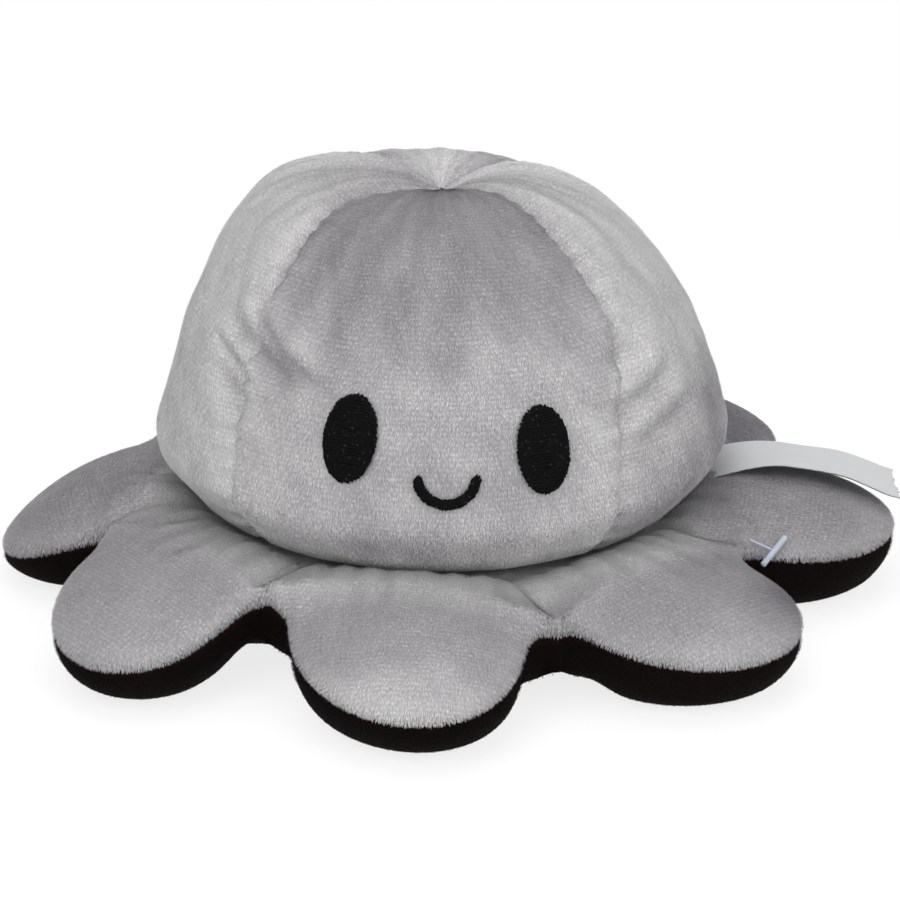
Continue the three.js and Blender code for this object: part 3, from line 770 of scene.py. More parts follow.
def pile_material(name, light, dark, sheen, specular):
    shader = Shader(name)
    tone, tint = shader.attribute("tone"), shader.attribute("tint")
    along = shader.attribute("along")
    cloud, grain = shader.noise(90, 3), shader.noise(2500, 1, (1, 1, .33))
    # The tone between dark and light is painted sheen and shade on the grey, and the brown backing
    # on the black
    base = shader.colour(.12 + .88 * tone + (cloud - .5) * .3 + (tint - .5) * .2, dark, light)
    # Painted shade: each tuft is darker towards its root, where the pile around it shades it
    strength = .86 + .14 * along + (tint - .5) * .24
    lit = shader.darken(base, strength * (.77 + .46 * grain))
    return shader.surface(Base_Color=lit, Roughness=.82, Sheen_Weight=sheen, Sheen_Roughness=.45,
                          Specular_IOR_Level=specular)


def cloth_material(name, light, dark, sheen):
    shader = Shader(name)
    tone = shader.attribute("tone")
    cloud, grain = shader.noise(90, 3), shader.noise(2200, 3, (1, 1, .3))
    # The tone between dark and light is painted sheen and shade on the grey, and the brown backing
    # on the black
    base = shader.colour(.12 + .88 * tone + (cloud - .5) * .2, dark, light)
    # Painted shade: the ground under the pile is painted darker, as the pile shades it
    lit = shader.darken(base, .62 + .3 * grain)
    return shader.surface(Base_Color=lit, Roughness=.9, Sheen_Weight=sheen, Sheen_Roughness=.5,
                          Specular_IOR_Level=.05, Normal=shader.bump(grain, .0005, .8))


def thread_material(name, colour):
    shader = Shader(name)
    grain, fleck = shader.noise(2600, 2), shader.noise(1500, 3)
    # A few grey specks scattered over the thread
    grey_specks, grey = fleck.between(.62, .75) * .25, (.16, .16, .17)
    base = shader.colour(grey_specks, shader.darken(colour, .45 + .6 * grain), grey)
    return shader.surface(Base_Color=base, Roughness=.65 + .2 * grain, Specular_IOR_Level=.09,
                          Normal=shader.bump(grain, .0001, .5))


def tape_material(name, colour):
    shader = Shader(name)
    ribs = shader.value("ShaderNodeTexWave", {"Vector": shader.place(), "Scale": 950.0,
                                              "Distortion": .4, "Detail": 1.0}, "Fac",
                        wave_type="BANDS", bands_direction="Y")
    grain, cloud = shader.noise(1900, 2, (.2, 1, 1)), shader.noise(60, 2)
    base = shader.darken(colour, .9 + .07 * ribs + .05 * grain + .06 * (cloud - .5))
    return shader.surface(Base_Color=base, Roughness=.42 + .2 * grain, Sheen_Weight=.15,
                          Specular_IOR_Level=.4,
                          Normal=shader.bump(ribs * .6 + grain * .4, .00008, .6))


def plastic_material(name, colour):
    shader = Shader(name)
    scuff = shader.noise(700, 3)
    return shader.surface(Base_Color=shader.darken(colour, .8 + .3 * scuff), Alpha=.55, IOR=1.45,
                          Roughness=.25 + .25 * scuff, Normal=shader.bump(scuff, .00006, .5))


@cache
def material(key):
    c = bpy.context.scene.octopus_colours
    maker, *values = {
        "grey_pile": (pile_material, "Grey plush pile", c.grey_light, c.grey_dark, .08, .1),
        "grey_cloth": (cloth_material, "Grey plush ground", c.grey_light, c.grey_dark, .08),
        "black_pile": (pile_material, "Black plush pile", c.backing, c.black, .006, .03),
        "black_cloth": (cloth_material, "Black plush ground", c.backing, c.black, .004),
        "black_thread": (thread_material, "Black satin stitch", c.black_thread),
        "white_thread": (thread_material, "White satin stitch", c.white_thread),
        "tape": (tape_material, "Satin tape", c.tape),
        "plastic": (plastic_material, "Clear plastic", c.plastic),
    }[key]
    return maker(*values)


# ---------------------------------------------------------------- geometry nodes

class Nodes(Shader):
    """A geometry tree with named inputs, which ends in real meshes of one material."""

    def __init__(self, name, inputs):
        super().__init__(name, bpy.data.node_groups.new(name, "GeometryNodeTree"))
        face = self.tree.interface
        sockets = {key: face.new_socket(key, in_out="INPUT", socket_type="NodeSocket" + kind)
                   for key, kind in {"Geometry": "Geometry", **inputs}.items()}
        self.ids = {key: socket.identifier for key, socket in sockets.items()}
        face.new_socket("Geometry", in_out="OUTPUT", socket_type="NodeSocketGeometry")
        self.given = self.add("NodeGroupInput").outputs
        self.result = self.add("NodeGroupOutput").inputs[0]

    def given_value(self, key):
        return Wire(self, self.given[key])

    def plus(self, a, b):
        return self.out("ShaderNodeVectorMath", {0: a, 1: b}, operation="ADD")

    def number(self, low, high, seed):
        return self.value("FunctionNodeRandomValue", {2: low, 3: high, "Seed": seed}, 1,
                          data_type="FLOAT")

    def named(self, name, kind):
        node = self.add("GeometryNodeInputNamedAttribute", {"Name": name}, data_type=kind)
        return next(s for s in node.outputs if s.enabled and s.name == "Attribute")

    def finish(self, geometry, look):
        real = self.out("GeometryNodeRealizeInstances", {0: geometry})
        done = self.out("GeometryNodeSetMaterial", {0: real, "Material": material(look)})
        self.tree.links.new(done, self.result)
        return self


@cache
def pile_tree(look):
    """Tufts at random places of the cloth, which lie along its flow and stand a little off it."""
    floats = dict.fromkeys(("Density", "Length", "Width", "Lift", "Mess"), "Float")
    tree = Nodes("Pile " + look, {**floats, "Seed": "Int", "Tuft": "Object"})
    given, value = tree.given, tree.given_value
    thick = Wire(tree, tree.named("thick", "FLOAT"))
    rows = Wire(tree, tree.named("row", "FLOAT")) * (2 * math.pi / ROW_PITCH)
    # Each random number's range and seed: shade, lift, length and width of a tuft
    shade = tree.number(.2, .8, 8) + rows.sine() * .3
    spread = tree.add("GeometryNodeDistributePointsOnFaces",
                      {"Mesh": given["Geometry"], "Density": value("Density") * thick,
                       "Seed": given["Seed"]}, distribute_method="RANDOM")
    points, normal = spread.outputs["Points"], spread.outputs["Normal"]
    loose = tree.out("FunctionNodeRandomValue", {0: (-1, -1, -1), 1: (1, 1, 1), "Seed": 3},
                     data_type="FLOAT_VECTOR")
    lift = value("Lift") * tree.number(.35, 1.75, 4)
    aim = tree.plus(tree.named("flow", "FLOAT_VECTOR"), tree.darken(normal, lift))
    aim = tree.plus(aim, tree.darken(loose, given["Mess"]))
    turn = tree.out("FunctionNodeAlignRotationToVector", {"Vector": aim}, axis="Z")
    turn = tree.out("FunctionNodeAlignRotationToVector", {"Rotation": turn, "Vector": normal},
                    axis="Y", pivot_axis="Z")
    long = value("Length") * tree.number(.6, 1.25, 5)
    wide = value("Width") * tree.number(.6, 1.3, 6)
    size = tree.out("ShaderNodeCombineXYZ", {0: wide, 1: long, 2: long})
    shape = tree.out("GeometryNodeObjectInfo", {"Object": given["Tuft"]}, "Geometry")
    grown = tree.out("GeometryNodeInstanceOnPoints", {"Points": points, "Instance": shape,
                                                      "Rotation": turn, "Scale": size})
    tinted = tree.out("GeometryNodeStoreNamedAttribute",
                      {"Geometry": grown, "Name": "tint", "Value": shade},
                      data_type="FLOAT", domain="INSTANCE")
    return tree.finish(tinted, look)


@cache
def thread_tree(look):
    """A round thread along every line."""
    tree = Nodes("Threads " + look, {"Radius": "Float"})
    line = tree.out("GeometryNodeMeshToCurve", {"Mesh": tree.given["Geometry"]})
    ring = tree.out("GeometryNodeCurvePrimitiveCircle", {"Resolution": 6,
                                                         "Radius": tree.given["Radius"]})
    tube = tree.out("GeometryNodeCurveToMesh", {"Curve": line, "Profile Curve": ring,
                                                "Fill Caps": True})
    return tree.finish(tube, look)


def grow(source, tree, name, inputs):
    """Runs a tree on a copy of a mesh, and keeps the result as a plain mesh."""
    carrier = linked(name + "_carrier", source.data)
    modifier = carrier.modifiers.new("Grow", "NODES")
    modifier.node_group = tree.tree
    for key, value in inputs.items():
        modifier[tree.ids[key]] = value
    bpy.context.view_layer.update()
    graph = bpy.context.evaluated_depsgraph_get()
    mesh = bpy.data.meshes.new_from_object(carrier.evaluated_get(graph),
                                           preserve_all_data_layers=True, depsgraph=graph)
    carrier.modifiers.clear()
    bpy.data.objects.remove(carrier)
    mesh.name = name
    if not len(mesh.polygons):
        raise RuntimeError(name + " has no faces")
    return linked(name, mesh)


# One tuft of pile, narrow at its root and tip, and bowed away from the cloth; how far along the
# tuft each corner is, and where it lies in the tuft's own square of the bake map
TUFT = [(0, 0, -.05), (-.5, .07, .48), (.5, .07, .48), (0, .03, 1)]
TUFT_ALONG = [0.0, .55, .55, 1.0]
TUFT_MAP = np.array([(.5, .08), (.08, .5), (.92, .5), (.5, .92)])


@cache
def tuft():
    return mesh_object("tuft", TUFT, [(0, 1, 2), (1, 3, 2)], attributes={"along": TUFT_ALONG})


def grow_pile(source, name, look, density, seed):
    sizes = bpy.context.scene.octopus_pile
    piece = grow(source, pile_tree(look + "_pile"), name,
                 {"Density": density, "Length": sizes.length * PILE_LENGTHS[look],
                  "Width": sizes.width, "Lift": sizes.lift, "Mess": sizes.mess,
                  "Seed": sizes.seed + seed, "Tuft": tuft()})
    mesh = piece.data
    co = np.empty(len(mesh.vertices) * 3, np.float32)
    mesh.vertices.foreach_get("co", co)
    co[2::3] = np.maximum(co[2::3], PILE_FLOOR)
    mesh.vertices.foreach_set("co", co)
    corner = np.empty(len(mesh.loops), np.int32)
    mesh.loops.foreach_get("vertex_index", corner)
    side = math.ceil(math.sqrt(len(mesh.vertices) // len(TUFT)))
    cell, corner = corner // len(TUFT), corner % len(TUFT)
    bake_map(mesh, (np.stack([cell % side, cell // side], -1) + TUFT_MAP[corner]) / side)
    mesh.update()
    return piece


# ---------------------------------------------------------------- dressing a piece

def dress(piece, look, slot, nodes=(), arm=None):
    """Gives a piece its material and hides the parts that it replaces; a piece given no tentacle is
    attached to the body, and one given a tentacle has its place baked into its mesh. The slot is
    not used.
    """
    mesh = piece.data
    mesh.materials.clear()
    mesh.materials.append(material(look))
    mesh.polygons.foreach_set("material_index", np.zeros(len(mesh.polygons), np.int32))
    if arm is None:
        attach(piece, "body")
    else:
        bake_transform(piece)
    if nodes:
        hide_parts(*nodes)


def plush(name, look, nodes, grid, normals, fields, density, seed, arm=None):
    """A skin of plush: its ground cloth, and the pile that grows on it."""
    slot = look + "_plush"
    cloth = cloth_shell(name + "_plush", grid, grid - CLOTH * normals, normals, fields)
    dress(cloth, look + "_cloth", slot, nodes, arm)
    pile = grow_pile(cloth, name + "_pile", look, density, seed)
    dress(pile, look + "_pile", slot, arm=arm)


# ---------------------------------------------------------------- the face

# Half sizes of an eye and of the smile, the smile's stroke and the length of an eye's border
EYE_WIDE, EYE_HIGH = 5.7, 8.5
MOUTH_WIDE, MOUTH_DROP, MOUTH_STROKE = 6.0, 5.6, 1.9
EYE_BORDER = 46
# How far the threads stand off the cloth at their ends, and how much more in their middle
FILL_LIFT, BORDER_LIFT, MOUTH_LIFT = .55, .5, .6
EYE_FULL, MOUTH_FULL = .35, .3
FACE_SEED = 11


def on_head(azimuth, height, across, lift):
    rise = HEAD.rise_at(height)
    turned = math.radians(azimuth) + across / HEAD.at(rise)[0]
    return head_point(turned, .5 + 0 * turned, rise, -lift, "front")


def in_pocket(azimuth, height, across, lift):
    turned = math.radians(azimuth) + across / POCKET_RADIUS
    return pocket_point(turned, POCKET.rise_at(height), -lift - .9)


def head_height(share):
    return NECK_HEIGHT + share * HEAD_HEIGHT


# Both faces: surface, name and thread; azimuth, height and slant of each eye; azimuth and
# height of the mouth
FACES = ((on_head, "", "black_thread",
          {"left": (-108.3, head_height(.466), .05), "right": (-69.6, head_height(.433), .02)},
          (-88.9, head_height(.38))),
         (in_pocket, "reverse_", "white_thread",
          {"left": (-112.0, .6 * POCKET_HEIGHT, 0), "right": (-68.0, .6 * POCKET_HEIGHT, 0)},
          (-90.0, .4 * POCKET_HEIGHT)))


def face_room(azimuth, height):
    """1 where the pile is left off under the embroidery of the face, and 0 elsewhere."""
    eyes, mouth = FACES[0][3:]
    radius, _ = HEAD.at(HEAD.rise_at(height))
    room = np.zeros(azimuth.shape, bool)
    for centre, middle, slant in eyes.values():
        up = height - middle
        across = np.radians(turned_from(azimuth, centre)) * radius - slant * up
        room |= np.hypot(across / (EYE_WIDE + .1), (up - .3) / (EYE_HIGH + .4)) < 1
    across, up = np.radians(turned_from(azimuth, mouth[0])) * radius, height - mouth[1]
    stroke = np.abs(np.hypot(across / MOUTH_WIDE, (up - .3) / MOUTH_DROP) - 1) < .24
    return room | (stroke & (up < 1.2))


def sew(name, thread, surface, azimuth, height, stitches, full):
    """Lays every stitch on the surface, rising in its middle, and sweeps it into a thread."""
    t = np.linspace(0, 1, 7)
    lines = [surface(azimuth, height + mix(y0, y1, t), mix(x0, x1, t),
                     lift + full * (1 - (2 * t - 1) ** 4))
             for (x0, y0), (x1, y1), lift in stitches]
    edges = [(n, n + 1) for n in range(len(lines) * len(t)) if (n + 1) % len(t)]
    guide = mesh_object(name + "_guide", place(np.concatenate(lines)), [], edges)
    radius = bpy.context.scene.octopus_sizes.thread_radius
    piece = grow(guide, thread_tree(thread), name + "_stitches", {"Radius": radius})
    bpy.data.objects.remove(guide)
    smooth(piece.data)
    dress(piece, thread, thread, [name])


def eye_stitches(slant, pitch, rng):
    """Two threads side by side in each row, and a ring of short ones round them."""
    stitches = []
    count = int(2 * EYE_HIGH / pitch)
    for n in range(count):
        y = -EYE_HIGH + (n + .5) * 2 * EYE_HIGH / count
        half = EYE_WIDE * math.sqrt(max(0, 1 - (y / EYE_HIGH) ** 2)) * .93
        tip = rng.uniform(-.25, .2, 2)
        if half > 1:
            split = rng.uniform(-.3, .3) * half
            middle = y + rng.uniform(-.12, .12)
            for x0, y0, x1, y1 in ((-half + tip[0], y, split + .5, middle),
                                   (split - .5, middle, half + tip[1], y)):
                stitches.append(((x0 + slant * y, y0), (x1 + slant * y, y1),
                                 FILL_LIFT + rng.uniform(0, .12)))
    border = int(EYE_BORDER / pitch)
    for n in range(border):
        turn = 2 * math.pi * n / border
        way = np.array([EYE_WIDE * math.cos(turn), EYE_HIGH * math.sin(turn)])
        inner, outer = .8 + rng.uniform(-.03, .03), 1.01 + rng.uniform(-.02, .03)
        a, b = way * inner, way * outer
        aside = rng.uniform(-.12, .12)
        stitches.append(((a[0] + slant * a[1], a[1]), (b[0] + slant * b[1] + aside, b[1]),
                         BORDER_LIFT))
    return stitches


def mouth_stitches(pitch, rng, slant=.05):
    """Short threads across the smile, shorter at its rounded ends."""
    stitches = []
    span = math.pi * (MOUTH_WIDE + MOUTH_DROP) / 2
    count = int(span / pitch * 1.15)
    for n in range(count + 1):
        share = n / count
        turn = math.pi * (share - .5)
        end = min(1, min(share, 1 - share) * span / 1.1)
        half = MOUTH_STROKE / 2 * math.sqrt(max(.08, 1 - (1 - end) ** 2))
        a, b = -half - rng.uniform(-.1, .2), half + rng.uniform(-.1, .2)
        ends = [((MOUTH_WIDE + w) * math.sin(turn + s), -(MOUTH_DROP + w) * math.cos(turn + s))
                for w, s in ((a, -slant), (b, slant))]
        stitches.append((*ends, MOUTH_LIFT))
    return stitches


# ---------------------------------------------------------------- operators

class OCTOPUS_OT_head(Operator):
    """The four stuffed gores of the head"""
    bl_idname = "octopus.head"
    bl_label = "Head"

    def execute(self, context):
        room = context.scene.octopus_sizes.pile_room / MM
        for n, gore in enumerate(HEAD_SEAMS):
            grid, azimuth, across, rise = head_grid(gore, room)
            normals = grid_normals(grid, around(azimuth, 1.0, 0 * azimuth + .3))
            height = grid[..., 2]
            near = seam_distance(azimuth, polar(grid)[1], rise, gore)
            down = -down_rows(grid)
            splay = np.sign(across - .5) * np.exp(-near / 9.0)
            flow = unit(down + unit(np.cross(normals, down)) * (splay * .7)[..., None])
            thick, nodes = np.ones_like(height), ["head_%s_panel" % gore]
            if gore == "front":
                thick[face_room(azimuth, height)] = 0
                nodes.append("head_filling")
            fields = {"tone": self.tone(gore, azimuth, height, near, rise), "flow": flow,
                      "row": rise * HEAD.length, "thick": thick}
            plush("head_" + gore, "grey", nodes, grid, normals, fields,
                  context.scene.octopus_pile.head_density, n)
        return {"FINISHED"}

    @staticmethod
    def tone(gore, azimuth, height, near, rise):
        """Painted sheen and shade of the grey pile, 1 light and 0 dark: how much light its nap
        catches, and shade in creases, folds and seams.
        """
        front, turn = gore == "front", np.degrees(azimuth)
        crown = ease((height - 62) / 8)
        tone = .56 + .07 * np.sin(azimuth * 4 + 1) * np.sin(height / 11)
        if front:
            wave = 2.4 * np.sin(azimuth * 5 + .6) + 1.2 * np.sin(azimuth * 13)
            # Painted sheen: lighter beside the front gore's seams, and its top painted darker where
            # its nap catches less light
            tone = tone + .22 * bell(near / 15) * ease((68 - height) / 12)
            tone = mix(tone, .24, ease((height - 65 - wave) / 17))
        else:
            # Painted sheen: the other gores lighter, with painted shade in the folds beside their
            # seams near the crown
            folds = bell(near / 9) * ease((rise - .7) / .12)
            tone = tone + .38 - {"left": .35, "right": .1, "back": .2}[gore] * folds
        # Painted shade on the back gore below its crown
        if gore == "back":
            tone -= .04 + .4 * ease((.91 - rise) / .1)
        # Painted shade in darker patches on the right: below the crown, beside the face and along
        # the seams
        tone -= .62 * bell((turn + 16) / 16) * ease((64 - height) / 14)
        tone -= .55 * bell((turn + 38) / 11, (height - 36) / 8)
        if gore == "right":
            tone -= .24 * bell(near / 16) * ease((66 - height) / 14)
        # Painted shade of a fold on the left gore near the crown
        tone -= .25 * bell(turned_from(azimuth, 180) / 16) * ease((rise - .7) / .1)
        # Small unevenness all over
        tone += .09 * np.sin(azimuth * 17 + height / 4.3 + 2 * np.sin(height / 9)) \
            * np.sin(height / 5.1 - azimuth * 8 + 1.3)
        tone += .05 * np.sin(azimuth * 41 + height / 3.1) * np.sin(height / 2.7 + azimuth * 13)
        # Painted light on the lower front of the head
        if front:
            tone += .12 * ease((36 - height) / 8)
        # Painted sheen and shade: the chin's darker patch of pile brushed the other way, the
        # creases, and the seams
        painted_chin_sheen = bell((turn + 102) / 11, (height - 32) / 4.5)
        tone -= .3 * painted_chin_sheen + .15 * head_creases(azimuth, height)
        tone += (.3 if front else -.15) * crown * bell(near / 1.3)
        seam = .04 + .08 * ease((height - 48) / 10) * (1 - crown)
        return np.clip(tone - seam * bell(near / 1.2), 0, 1)


class OCTOPUS_OT_pocket(Operator):
    """The pocket that is left inside by the head that is turned in"""
    bl_idname = "octopus.pocket"
    bl_label = "Pocket"

    def execute(self, context):
        pile = context.scene.octopus_pile
        for n, gore in enumerate(HEAD_SEAMS):
            grid, azimuth, rise = pocket_grid(gore)
            normals = grid_normals(grid, around(azimuth, -1.0, 0 * azimuth - .2))
            fields = {"tone": 0 * rise, "flow": -down_rows(grid), "row": rise * POCKET.length,
                      "thick": np.ones_like(rise)}
            plush("pocket_" + gore, "black", ["pocket_%s_panel" % gore], grid, normals, fields,
                  pile.black_density * pile.pocket_share, 20 + n)
        return {"FINISHED"}


class OCTOPUS_OT_tentacles(Operator):
    """The skirt and the eight short tentacles, grey above and black below"""
    bl_idname = "octopus.tentacles"
    bl_label = "Skirt and tentacles"
    # The first of the four tentacles beside each half of the skirt, counted from 0
    halves = {"left": 7, "right": 3}

    def execute(self, context):
        ring, pile = Ring(ARM_COLUMNS), context.scene.octopus_pile
        for side, density in ((UPPER, pile.arm_density), (UNDER, pile.black_density)):
            grid, normals, fields, root = self.surface(context, ring, side)
            parts = [("tentacle_%d_%s" % (arm.n, side.word), arm, slice(root, None), arm.n - 1, 1,
                      30 + arm.n * 2) for arm in ARMS]
            parts += [("skirt_%s_%s" % (side.word, half), None, slice(root + 1), first, 4,
                       60 + first) for half, first in self.halves.items()]
            for name, arm, rows, first, count, seed in parts:
                cut = {key: ring.slice(values[rows], first, count)
                       for key, values in {"grid": grid, "normals": normals, **fields}.items()}
                nodes = [name]
                if side is UPPER and name != "skirt_top_right":
                    nodes.append(name.partition("_top")[0] + "_filling")
                plush(name, side.look, nodes, cut.pop("grid"), cut.pop("normals"), cut, density,
                      seed + (side is UPPER), arm)
        return {"FINISHED"}

    def surface(self, context, ring, side):
        """The grid of one side with its normals and fields, and where its skirt ends."""
        grid, root, rim = ring.rows(side)
        azimuth, radius = polar(grid)
        if side is UPPER:
            grid[..., 2] += top_wrinkles(azimuth, radius)
            grid[..., 2] -= NOTCH_DEPTH * notch_creases(azimuth, radius)
            grid[..., 2] -= context.scene.octopus_sizes.pile_room / MM * ease(rim / 3)
            tone = self.tone(ring, grid, azimuth, radius, rim)
            thick = mix(.35, 1, ease((radius - 50) / 5))
        else:
            # Black, with the brown backing along the seam; most pile grows near the rim
            tone = np.zeros(rim.shape)
            tone[-2:] = np.array([.2, 1])[:, None]
            thick = np.where(rim < 10, 1.0, .3)
        wrapped = np.concatenate([grid[:, -3:], grid, grid[:, :3]], 1)
        normals = grid_normals(wrapped, np.array([0, 0, side.up]))[:, 3:-3]
        flow = unit(rolled(down_rows(grid), np.ones(9), 1))
        hang = unit(normals * .4 + ring.aside[None] * .5 + np.array([0, 0, side.hang]))
        flow = np.where((rim < .8)[..., None], hang, flow)
        step = np.linalg.norm(np.diff(grid, axis=0), axis=-1)
        row = np.concatenate([0 * rim[:1], np.cumsum(step, 0)])
        return grid, normals, {"tone": tone, "flow": flow, "thick": thick, "row": row}, root

    @staticmethod
    def tone(ring, grid, azimuth, radius, rim):
        """Painted sheen and shade on the tentacles: mid grey, painted lighter at their tips; the
        back ones painted darker.
        """
        x = np.sum((grid - ring.middle) * ring.out, -1)
        body, tip = (rolled(np.array([tones[arm.n - 1] for arm in ring.owners]), np.ones(19)) / 19
                     for tones in (BODY_TONES, TIP_TONES))
        wave = 1.7 * np.sin(azimuth * 19) + .9 * np.sin(azimuth * 43)
        tone = mix(body, tip, ease((x - ring.of_arm("reach") + 13 + wave) / 8))
        # Painted highlight along the rim
        tone = tone + .1 * ease((4.5 - rim) / 4) * ease(x / 12)
        # Painted light beside the head, most of all in front, against the head's shadow, with a
        # little painted shade near -12 degrees
        lit = ease((75 - radius) / 14) * (.15 + .45 * bell(turned_from(azimuth, -90) / 60)
                                          + .4 * bell(turned_from(azimuth, -45) / 20)
                                          - .2 * bell(turned_from(azimuth, -12) / 12))
        # The valley beside the second tentacle lies in the light
        beyond = turned_from(azimuth, NOTCHES[1][0])
        bent = NOTCH_SWINGS[1] * ease((72 - radius) / 24)
        lit = lit + .17 * ease(.5 - beyond / 4) * ease(.5 + (beyond - bent) / 6)
        # Painted shade on the fourth tentacle's right flank, out near its tip
        shaded = .5 * bell(turned_from(azimuth, -34) / 7) * ease((radius - 80) / 10)
        return tone + lit - shaded - NOTCH_SHADE * notch_creases(azimuth, radius)


class OCTOPUS_OT_face(Operator):
    """The satin-stitched eyes and smile, and their twins inside the pocket"""
    bl_idname = "octopus.face"
    bl_label = "Embroidered faces"

    def execute(self, context):
        rng = np.random.default_rng(FACE_SEED)
        pitch = context.scene.octopus_sizes.thread_pitch / MM
        for surface, prefix, thread, eyes, (azimuth, height) in FACES:
            for side, (centre, middle, slant) in eyes.items():
                sew(prefix + "eye_" + side, thread, surface, centre, middle,
                    eye_stitches(slant, pitch, rng), EYE_FULL)
            sew(prefix + "mouth", thread, surface, azimuth, height, mouth_stitches(pitch, rng),
                MOUTH_FULL)
        return {"FINISHED"}


class OCTOPUS_OT_label(Operator):
    """The bare satin tape that is sewn in under the head"""
    bl_idname = "octopus.label"
    bl_label = "Label tape"
    # Its line from the seam outwards, in shares of its reach and of its rise, and its place
    shares = [(0, 0), (.06, .27), (.17, .7), (.31, 1), (.5, .98), (.69, .66), (.85, .15),
              (1, -.5)]
    reach, rise, half_width, middle = 48, 4.8, 8, 2
    start, start_height, seed = NECK_RADIUS + 7.9, NECK_HEIGHT + 2, 5

    def execute(self, context):
        thick = context.scene.octopus_sizes.tape_thickness / MM
        rng = np.random.default_rng(self.seed)
        line = Profile([(self.start + out * self.reach, self.start_height + up * self.rise)
                        for out, up in self.shares])
        share = np.linspace(0, 1, LABEL_ROWS)[:, None]
        across = np.linspace(-1, 1, LABEL_COLUMNS)
        x, z = line.at(share)
        fray = rng.uniform(-.45, .45, LABEL_COLUMNS) * (np.arange(LABEL_COLUMNS) % 2)
        # The end is frayed and a little curled, and the tape waves on its way
        x = x + ease((share - .95) / .05) * (fray + .5 * across ** 2)
        y = self.middle + across * self.half_width * (1 - .04 * ease((share - .9) * 10))
        z = z + .35 * np.sin(share * 7 + 1) * across
        z += .3 * np.sin(share * 19) * np.abs(across) ** 3 * .5
        upper = np.stack([x, y, z + thick], -1)
        normals = grid_normals(upper, np.array([0, 0, 1.0]))
        piece = cloth_shell("label_tape", upper, upper - thick * normals, normals,
                            {"tone": np.zeros_like(z)})
        dress(piece, "tape", "label_tape", ["label"], ARMS[4])
        return {"FINISHED"}


class OCTOPUS_OT_fastener(Operator):
    """The clear plastic fastener that a shop's tag hung from"""
    bl_idname = "octopus.fastener"
    bl_label = "Tag fastener"
    # The bar's place on its tentacle, in shares of its reach and half width, and its height
    # above the cloth; how it is turned; how far the stem runs in and up; and the thicknesses
    out_share, along_share, height = .22, -1.02, 2.6
    turn, tilt = math.radians(50), math.radians(30)
    stem_in, stem_up = 5.4, 2.5
    bar_half, bar_radius, stem_radius = 4.5, .66, .3

    def execute(self, context):
        arm, up = ARMS[4], np.array([0, 0, 1.0])
        x, y = (np.array(v) for v in (self.out_share * arm.reach,
                                      self.along_share * ARM_HALF_WIDTH))
        spot = arm.world(x, y, arm.heights(x, y)[1] + self.height)
        level = math.cos(self.tilt)
        way = (math.sin(self.turn) * level * arm.along + math.cos(self.turn) * level * arm.out
               + math.sin(self.tilt) * up)
        verts, faces = [], []
        bar, stem = way * self.bar_half, arm.out * -self.stem_in + up * self.stem_up
        self.rod(verts, faces, spot - bar, spot + bar, self.bar_radius)
        self.rod(verts, faces, spot, spot + stem, self.stem_radius)
        piece = mesh_object("tag_fastener_bar", place(verts), faces)
        dress(piece, "plastic", "clear_plastic", ["tag_fastener"], arm)
        return {"FINISHED"}

    @staticmethod
    def rod(verts, faces, a, b, radius, sides=16):
        """Adds a rod with rounded ends and a faint mould line."""
        way, length, first = unit(b - a), np.linalg.norm(b - a), len(verts)
        side = unit(np.cross(way, (0, 0, 1)))
        up = np.cross(side, way)
        profile = [(0, .02), (.03, .5), (.1, .85), (.25, 1)]
        places = [(s * radius * 2, r) for s, r in profile]
        places += [(length * m, 1 - .06 * math.sin(math.pi * m)) for m in (.25, .5, .75)]
        places += [(length - s * radius * 2, r) for s, r in profile[::-1]]
        for n, (s, r) in enumerate(places):
            for k in range(sides):
                t = 2 * math.pi * k / sides
                ridge = 1 + .05 * (k in (0, sides // 2))
                verts.append(a + way * s + radius * r * ridge
                             * (math.cos(t) * side + math.sin(t) * up))
                if n:
                    low, after = first + (n - 1) * sides, (k + 1) % sides
                    faces.append((low + k, low + after, low + sides + after, low + sides + k))
        faces.append(tuple(range(first, first + sides))[::-1])
        faces.append(tuple(range(len(verts) - sides, len(verts))))


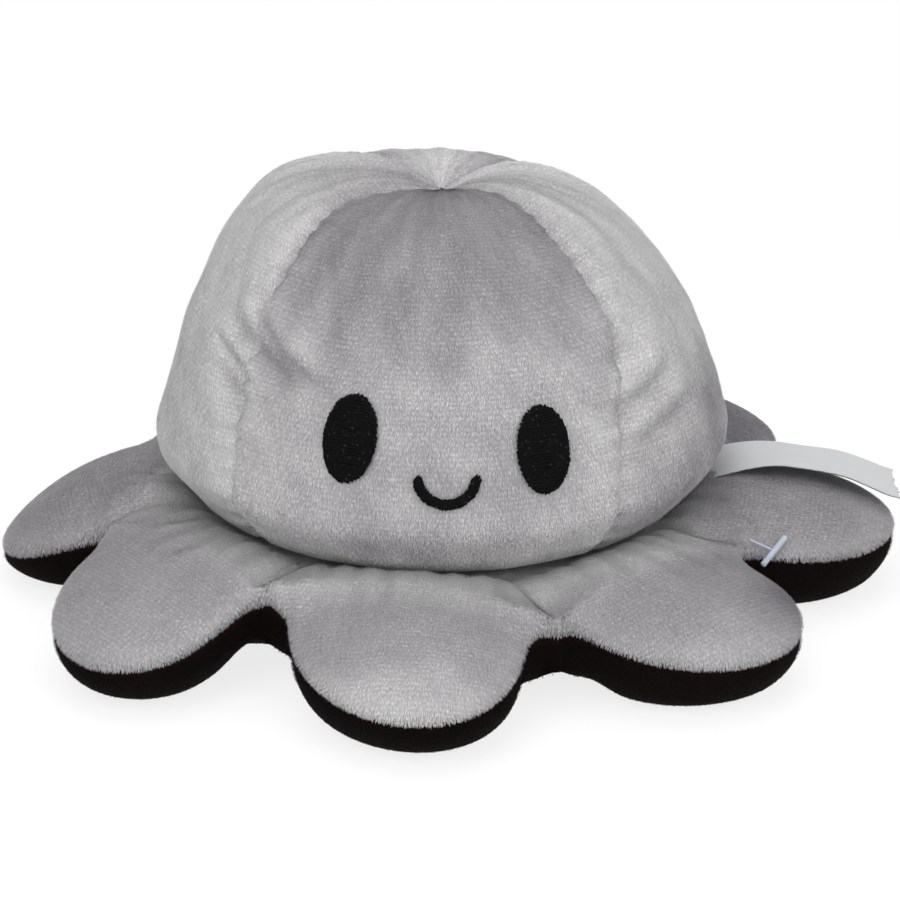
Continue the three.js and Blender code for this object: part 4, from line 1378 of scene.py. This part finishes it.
class OCTOPUS_OT_stage(Operator):
    """The pale floor, the soft lights and the camera"""
    bl_idname = "octopus.stage"
    bl_label = "Stage and camera"
    # Where each lamp stands, its size and its power, in metres and watts
    lamps = {"Key": ((-.55, -.8, .95), .9, 7.3), "Fill": ((.8, -.7, .6), .9, 5.5),
             "Front": ((0, -.95, .4), .5, 1.6), "Top": ((0, .25, 1.2), 1.0, 7.4)}
    # The camera: millimetres of lens and sensor, shift, the height that it looks at, its distance
    lens, sensor, shift = 125.2, 36.0, (.010, -.0611)
    aim, distance, tilt = .043, .7, math.radians(21)
    lamp_aim = Vector((0, 0, .04))
    floor_half, floor_height = 6.0, -.0002

    def execute(self, context):
        scene = context.scene
        scene.view_settings.view_transform = "Standard"
        self.floor()
        self.sky(scene)
        for name, (where, size, power) in self.lamps.items():
            lamp = bpy.data.lights.new(name, "AREA")
            lamp.shape, lamp.size, lamp.energy = "SQUARE", size, power
            self.turn(linked(name, lamp), Vector(where), self.lamp_aim - Vector(where))
        lens = bpy.data.cameras.new("Camera")
        lens.lens, lens.sensor_width = self.lens, self.sensor
        lens.shift_x, lens.shift_y = self.shift
        lens.clip_start, lens.clip_end = .05, 20
        ahead = Vector((0, math.cos(self.tilt), -math.sin(self.tilt)))
        where = Vector((NECK_AXIS[0], NECK_AXIS[1], self.aim)) - ahead * self.distance
        scene.camera = linked("Camera", lens)
        self.turn(scene.camera, where, ahead)
        return {"FINISHED"}

    @staticmethod
    def turn(piece, where, ahead):
        piece.location = where
        piece.rotation_euler = ahead.to_track_quat("-Z", "Y").to_euler()

    def floor(self):
        """White where it is seen, and matt where it throws light back on the toy."""
        shader = Shader("Pale floor")
        seen = shader.rays("Camera", "Glossy", "Transmission")
        far = shader.value("ShaderNodeVectorMath", {0: shader.place()}, "Value",
                           operation="LENGTH").between(.2, .6)
        matt = shader.out("ShaderNodeBsdfDiffuse", {"Color": (.86, .86, .86)})
        white = shader.out("ShaderNodeEmission", {"Color": (1, 1, 1), "Strength": 1.0})
        both = shader.out("ShaderNodeMixShader", {0: seen * (.8 + .2 * far), 1: matt, 2: white})
        shader.add("ShaderNodeOutputMaterial", {"Surface": both})
        verts = [(x * self.floor_half, y * self.floor_half, self.floor_height)
                 for x, y in ((-1, -1), (1, -1), (1, 1), (-1, 1))]
        floor = mesh_object("floor", verts, [(0, 1, 2, 3)])
        floor.data.materials.append(shader.material)

    @staticmethod
    def sky(scene):
        scene.world = bpy.data.worlds.new("Studio")
        scene.world.use_nodes = True
        shader = Shader("Studio", scene.world.node_tree)
        strength = .58 + .42 * shader.rays("Camera", "Transmission")
        light = shader.out("ShaderNodeBackground", {"Color": (1, 1, 1), "Strength": strength})
        shader.add("ShaderNodeOutputWorld", {"Surface": light})


STEPS = (OCTOPUS_OT_stage, OCTOPUS_OT_head, OCTOPUS_OT_pocket, OCTOPUS_OT_tentacles,
         OCTOPUS_OT_face, OCTOPUS_OT_label, OCTOPUS_OT_fastener)
GROUPS = {"octopus_pile": OctopusPile, "octopus_sizes": OctopusSizes,
          "octopus_colours": OctopusColours}


class OCTOPUS_PT_panel(Panel):
    """The steps that build the octopus"""
    bl_idname = "OCTOPUS_PT_panel"
    bl_label = "Reversible octopus"
    bl_space_type = "VIEW_3D"
    bl_region_type = "UI"
    bl_category = "Octopus"

    def draw(self, context):
        for name in GROUPS:
            group = getattr(context.scene, name)
            for key in group.__annotations__:
                self.layout.prop(group, key)
        for step in STEPS:
            self.layout.operator(step.bl_idname)


CLASSES = (*GROUPS.values(), *STEPS, OCTOPUS_PT_panel)


def register():
    for cls in CLASSES:
        bpy.utils.register_class(cls)
    for key, group in GROUPS.items():
        setattr(bpy.types.Scene, key, PointerProperty(type=group))


def unregister():
    for key in GROUPS:
        delattr(bpy.types.Scene, key)
    for cls in reversed(CLASSES):
        bpy.utils.unregister_class(cls)


def main():
    register()
    for step in STEPS:
        family, name = step.bl_idname.split(".")
        getattr(getattr(bpy.ops, family), name)()
    bpy.data.objects.remove(tuft())


if __name__ == "__main__":
    main()
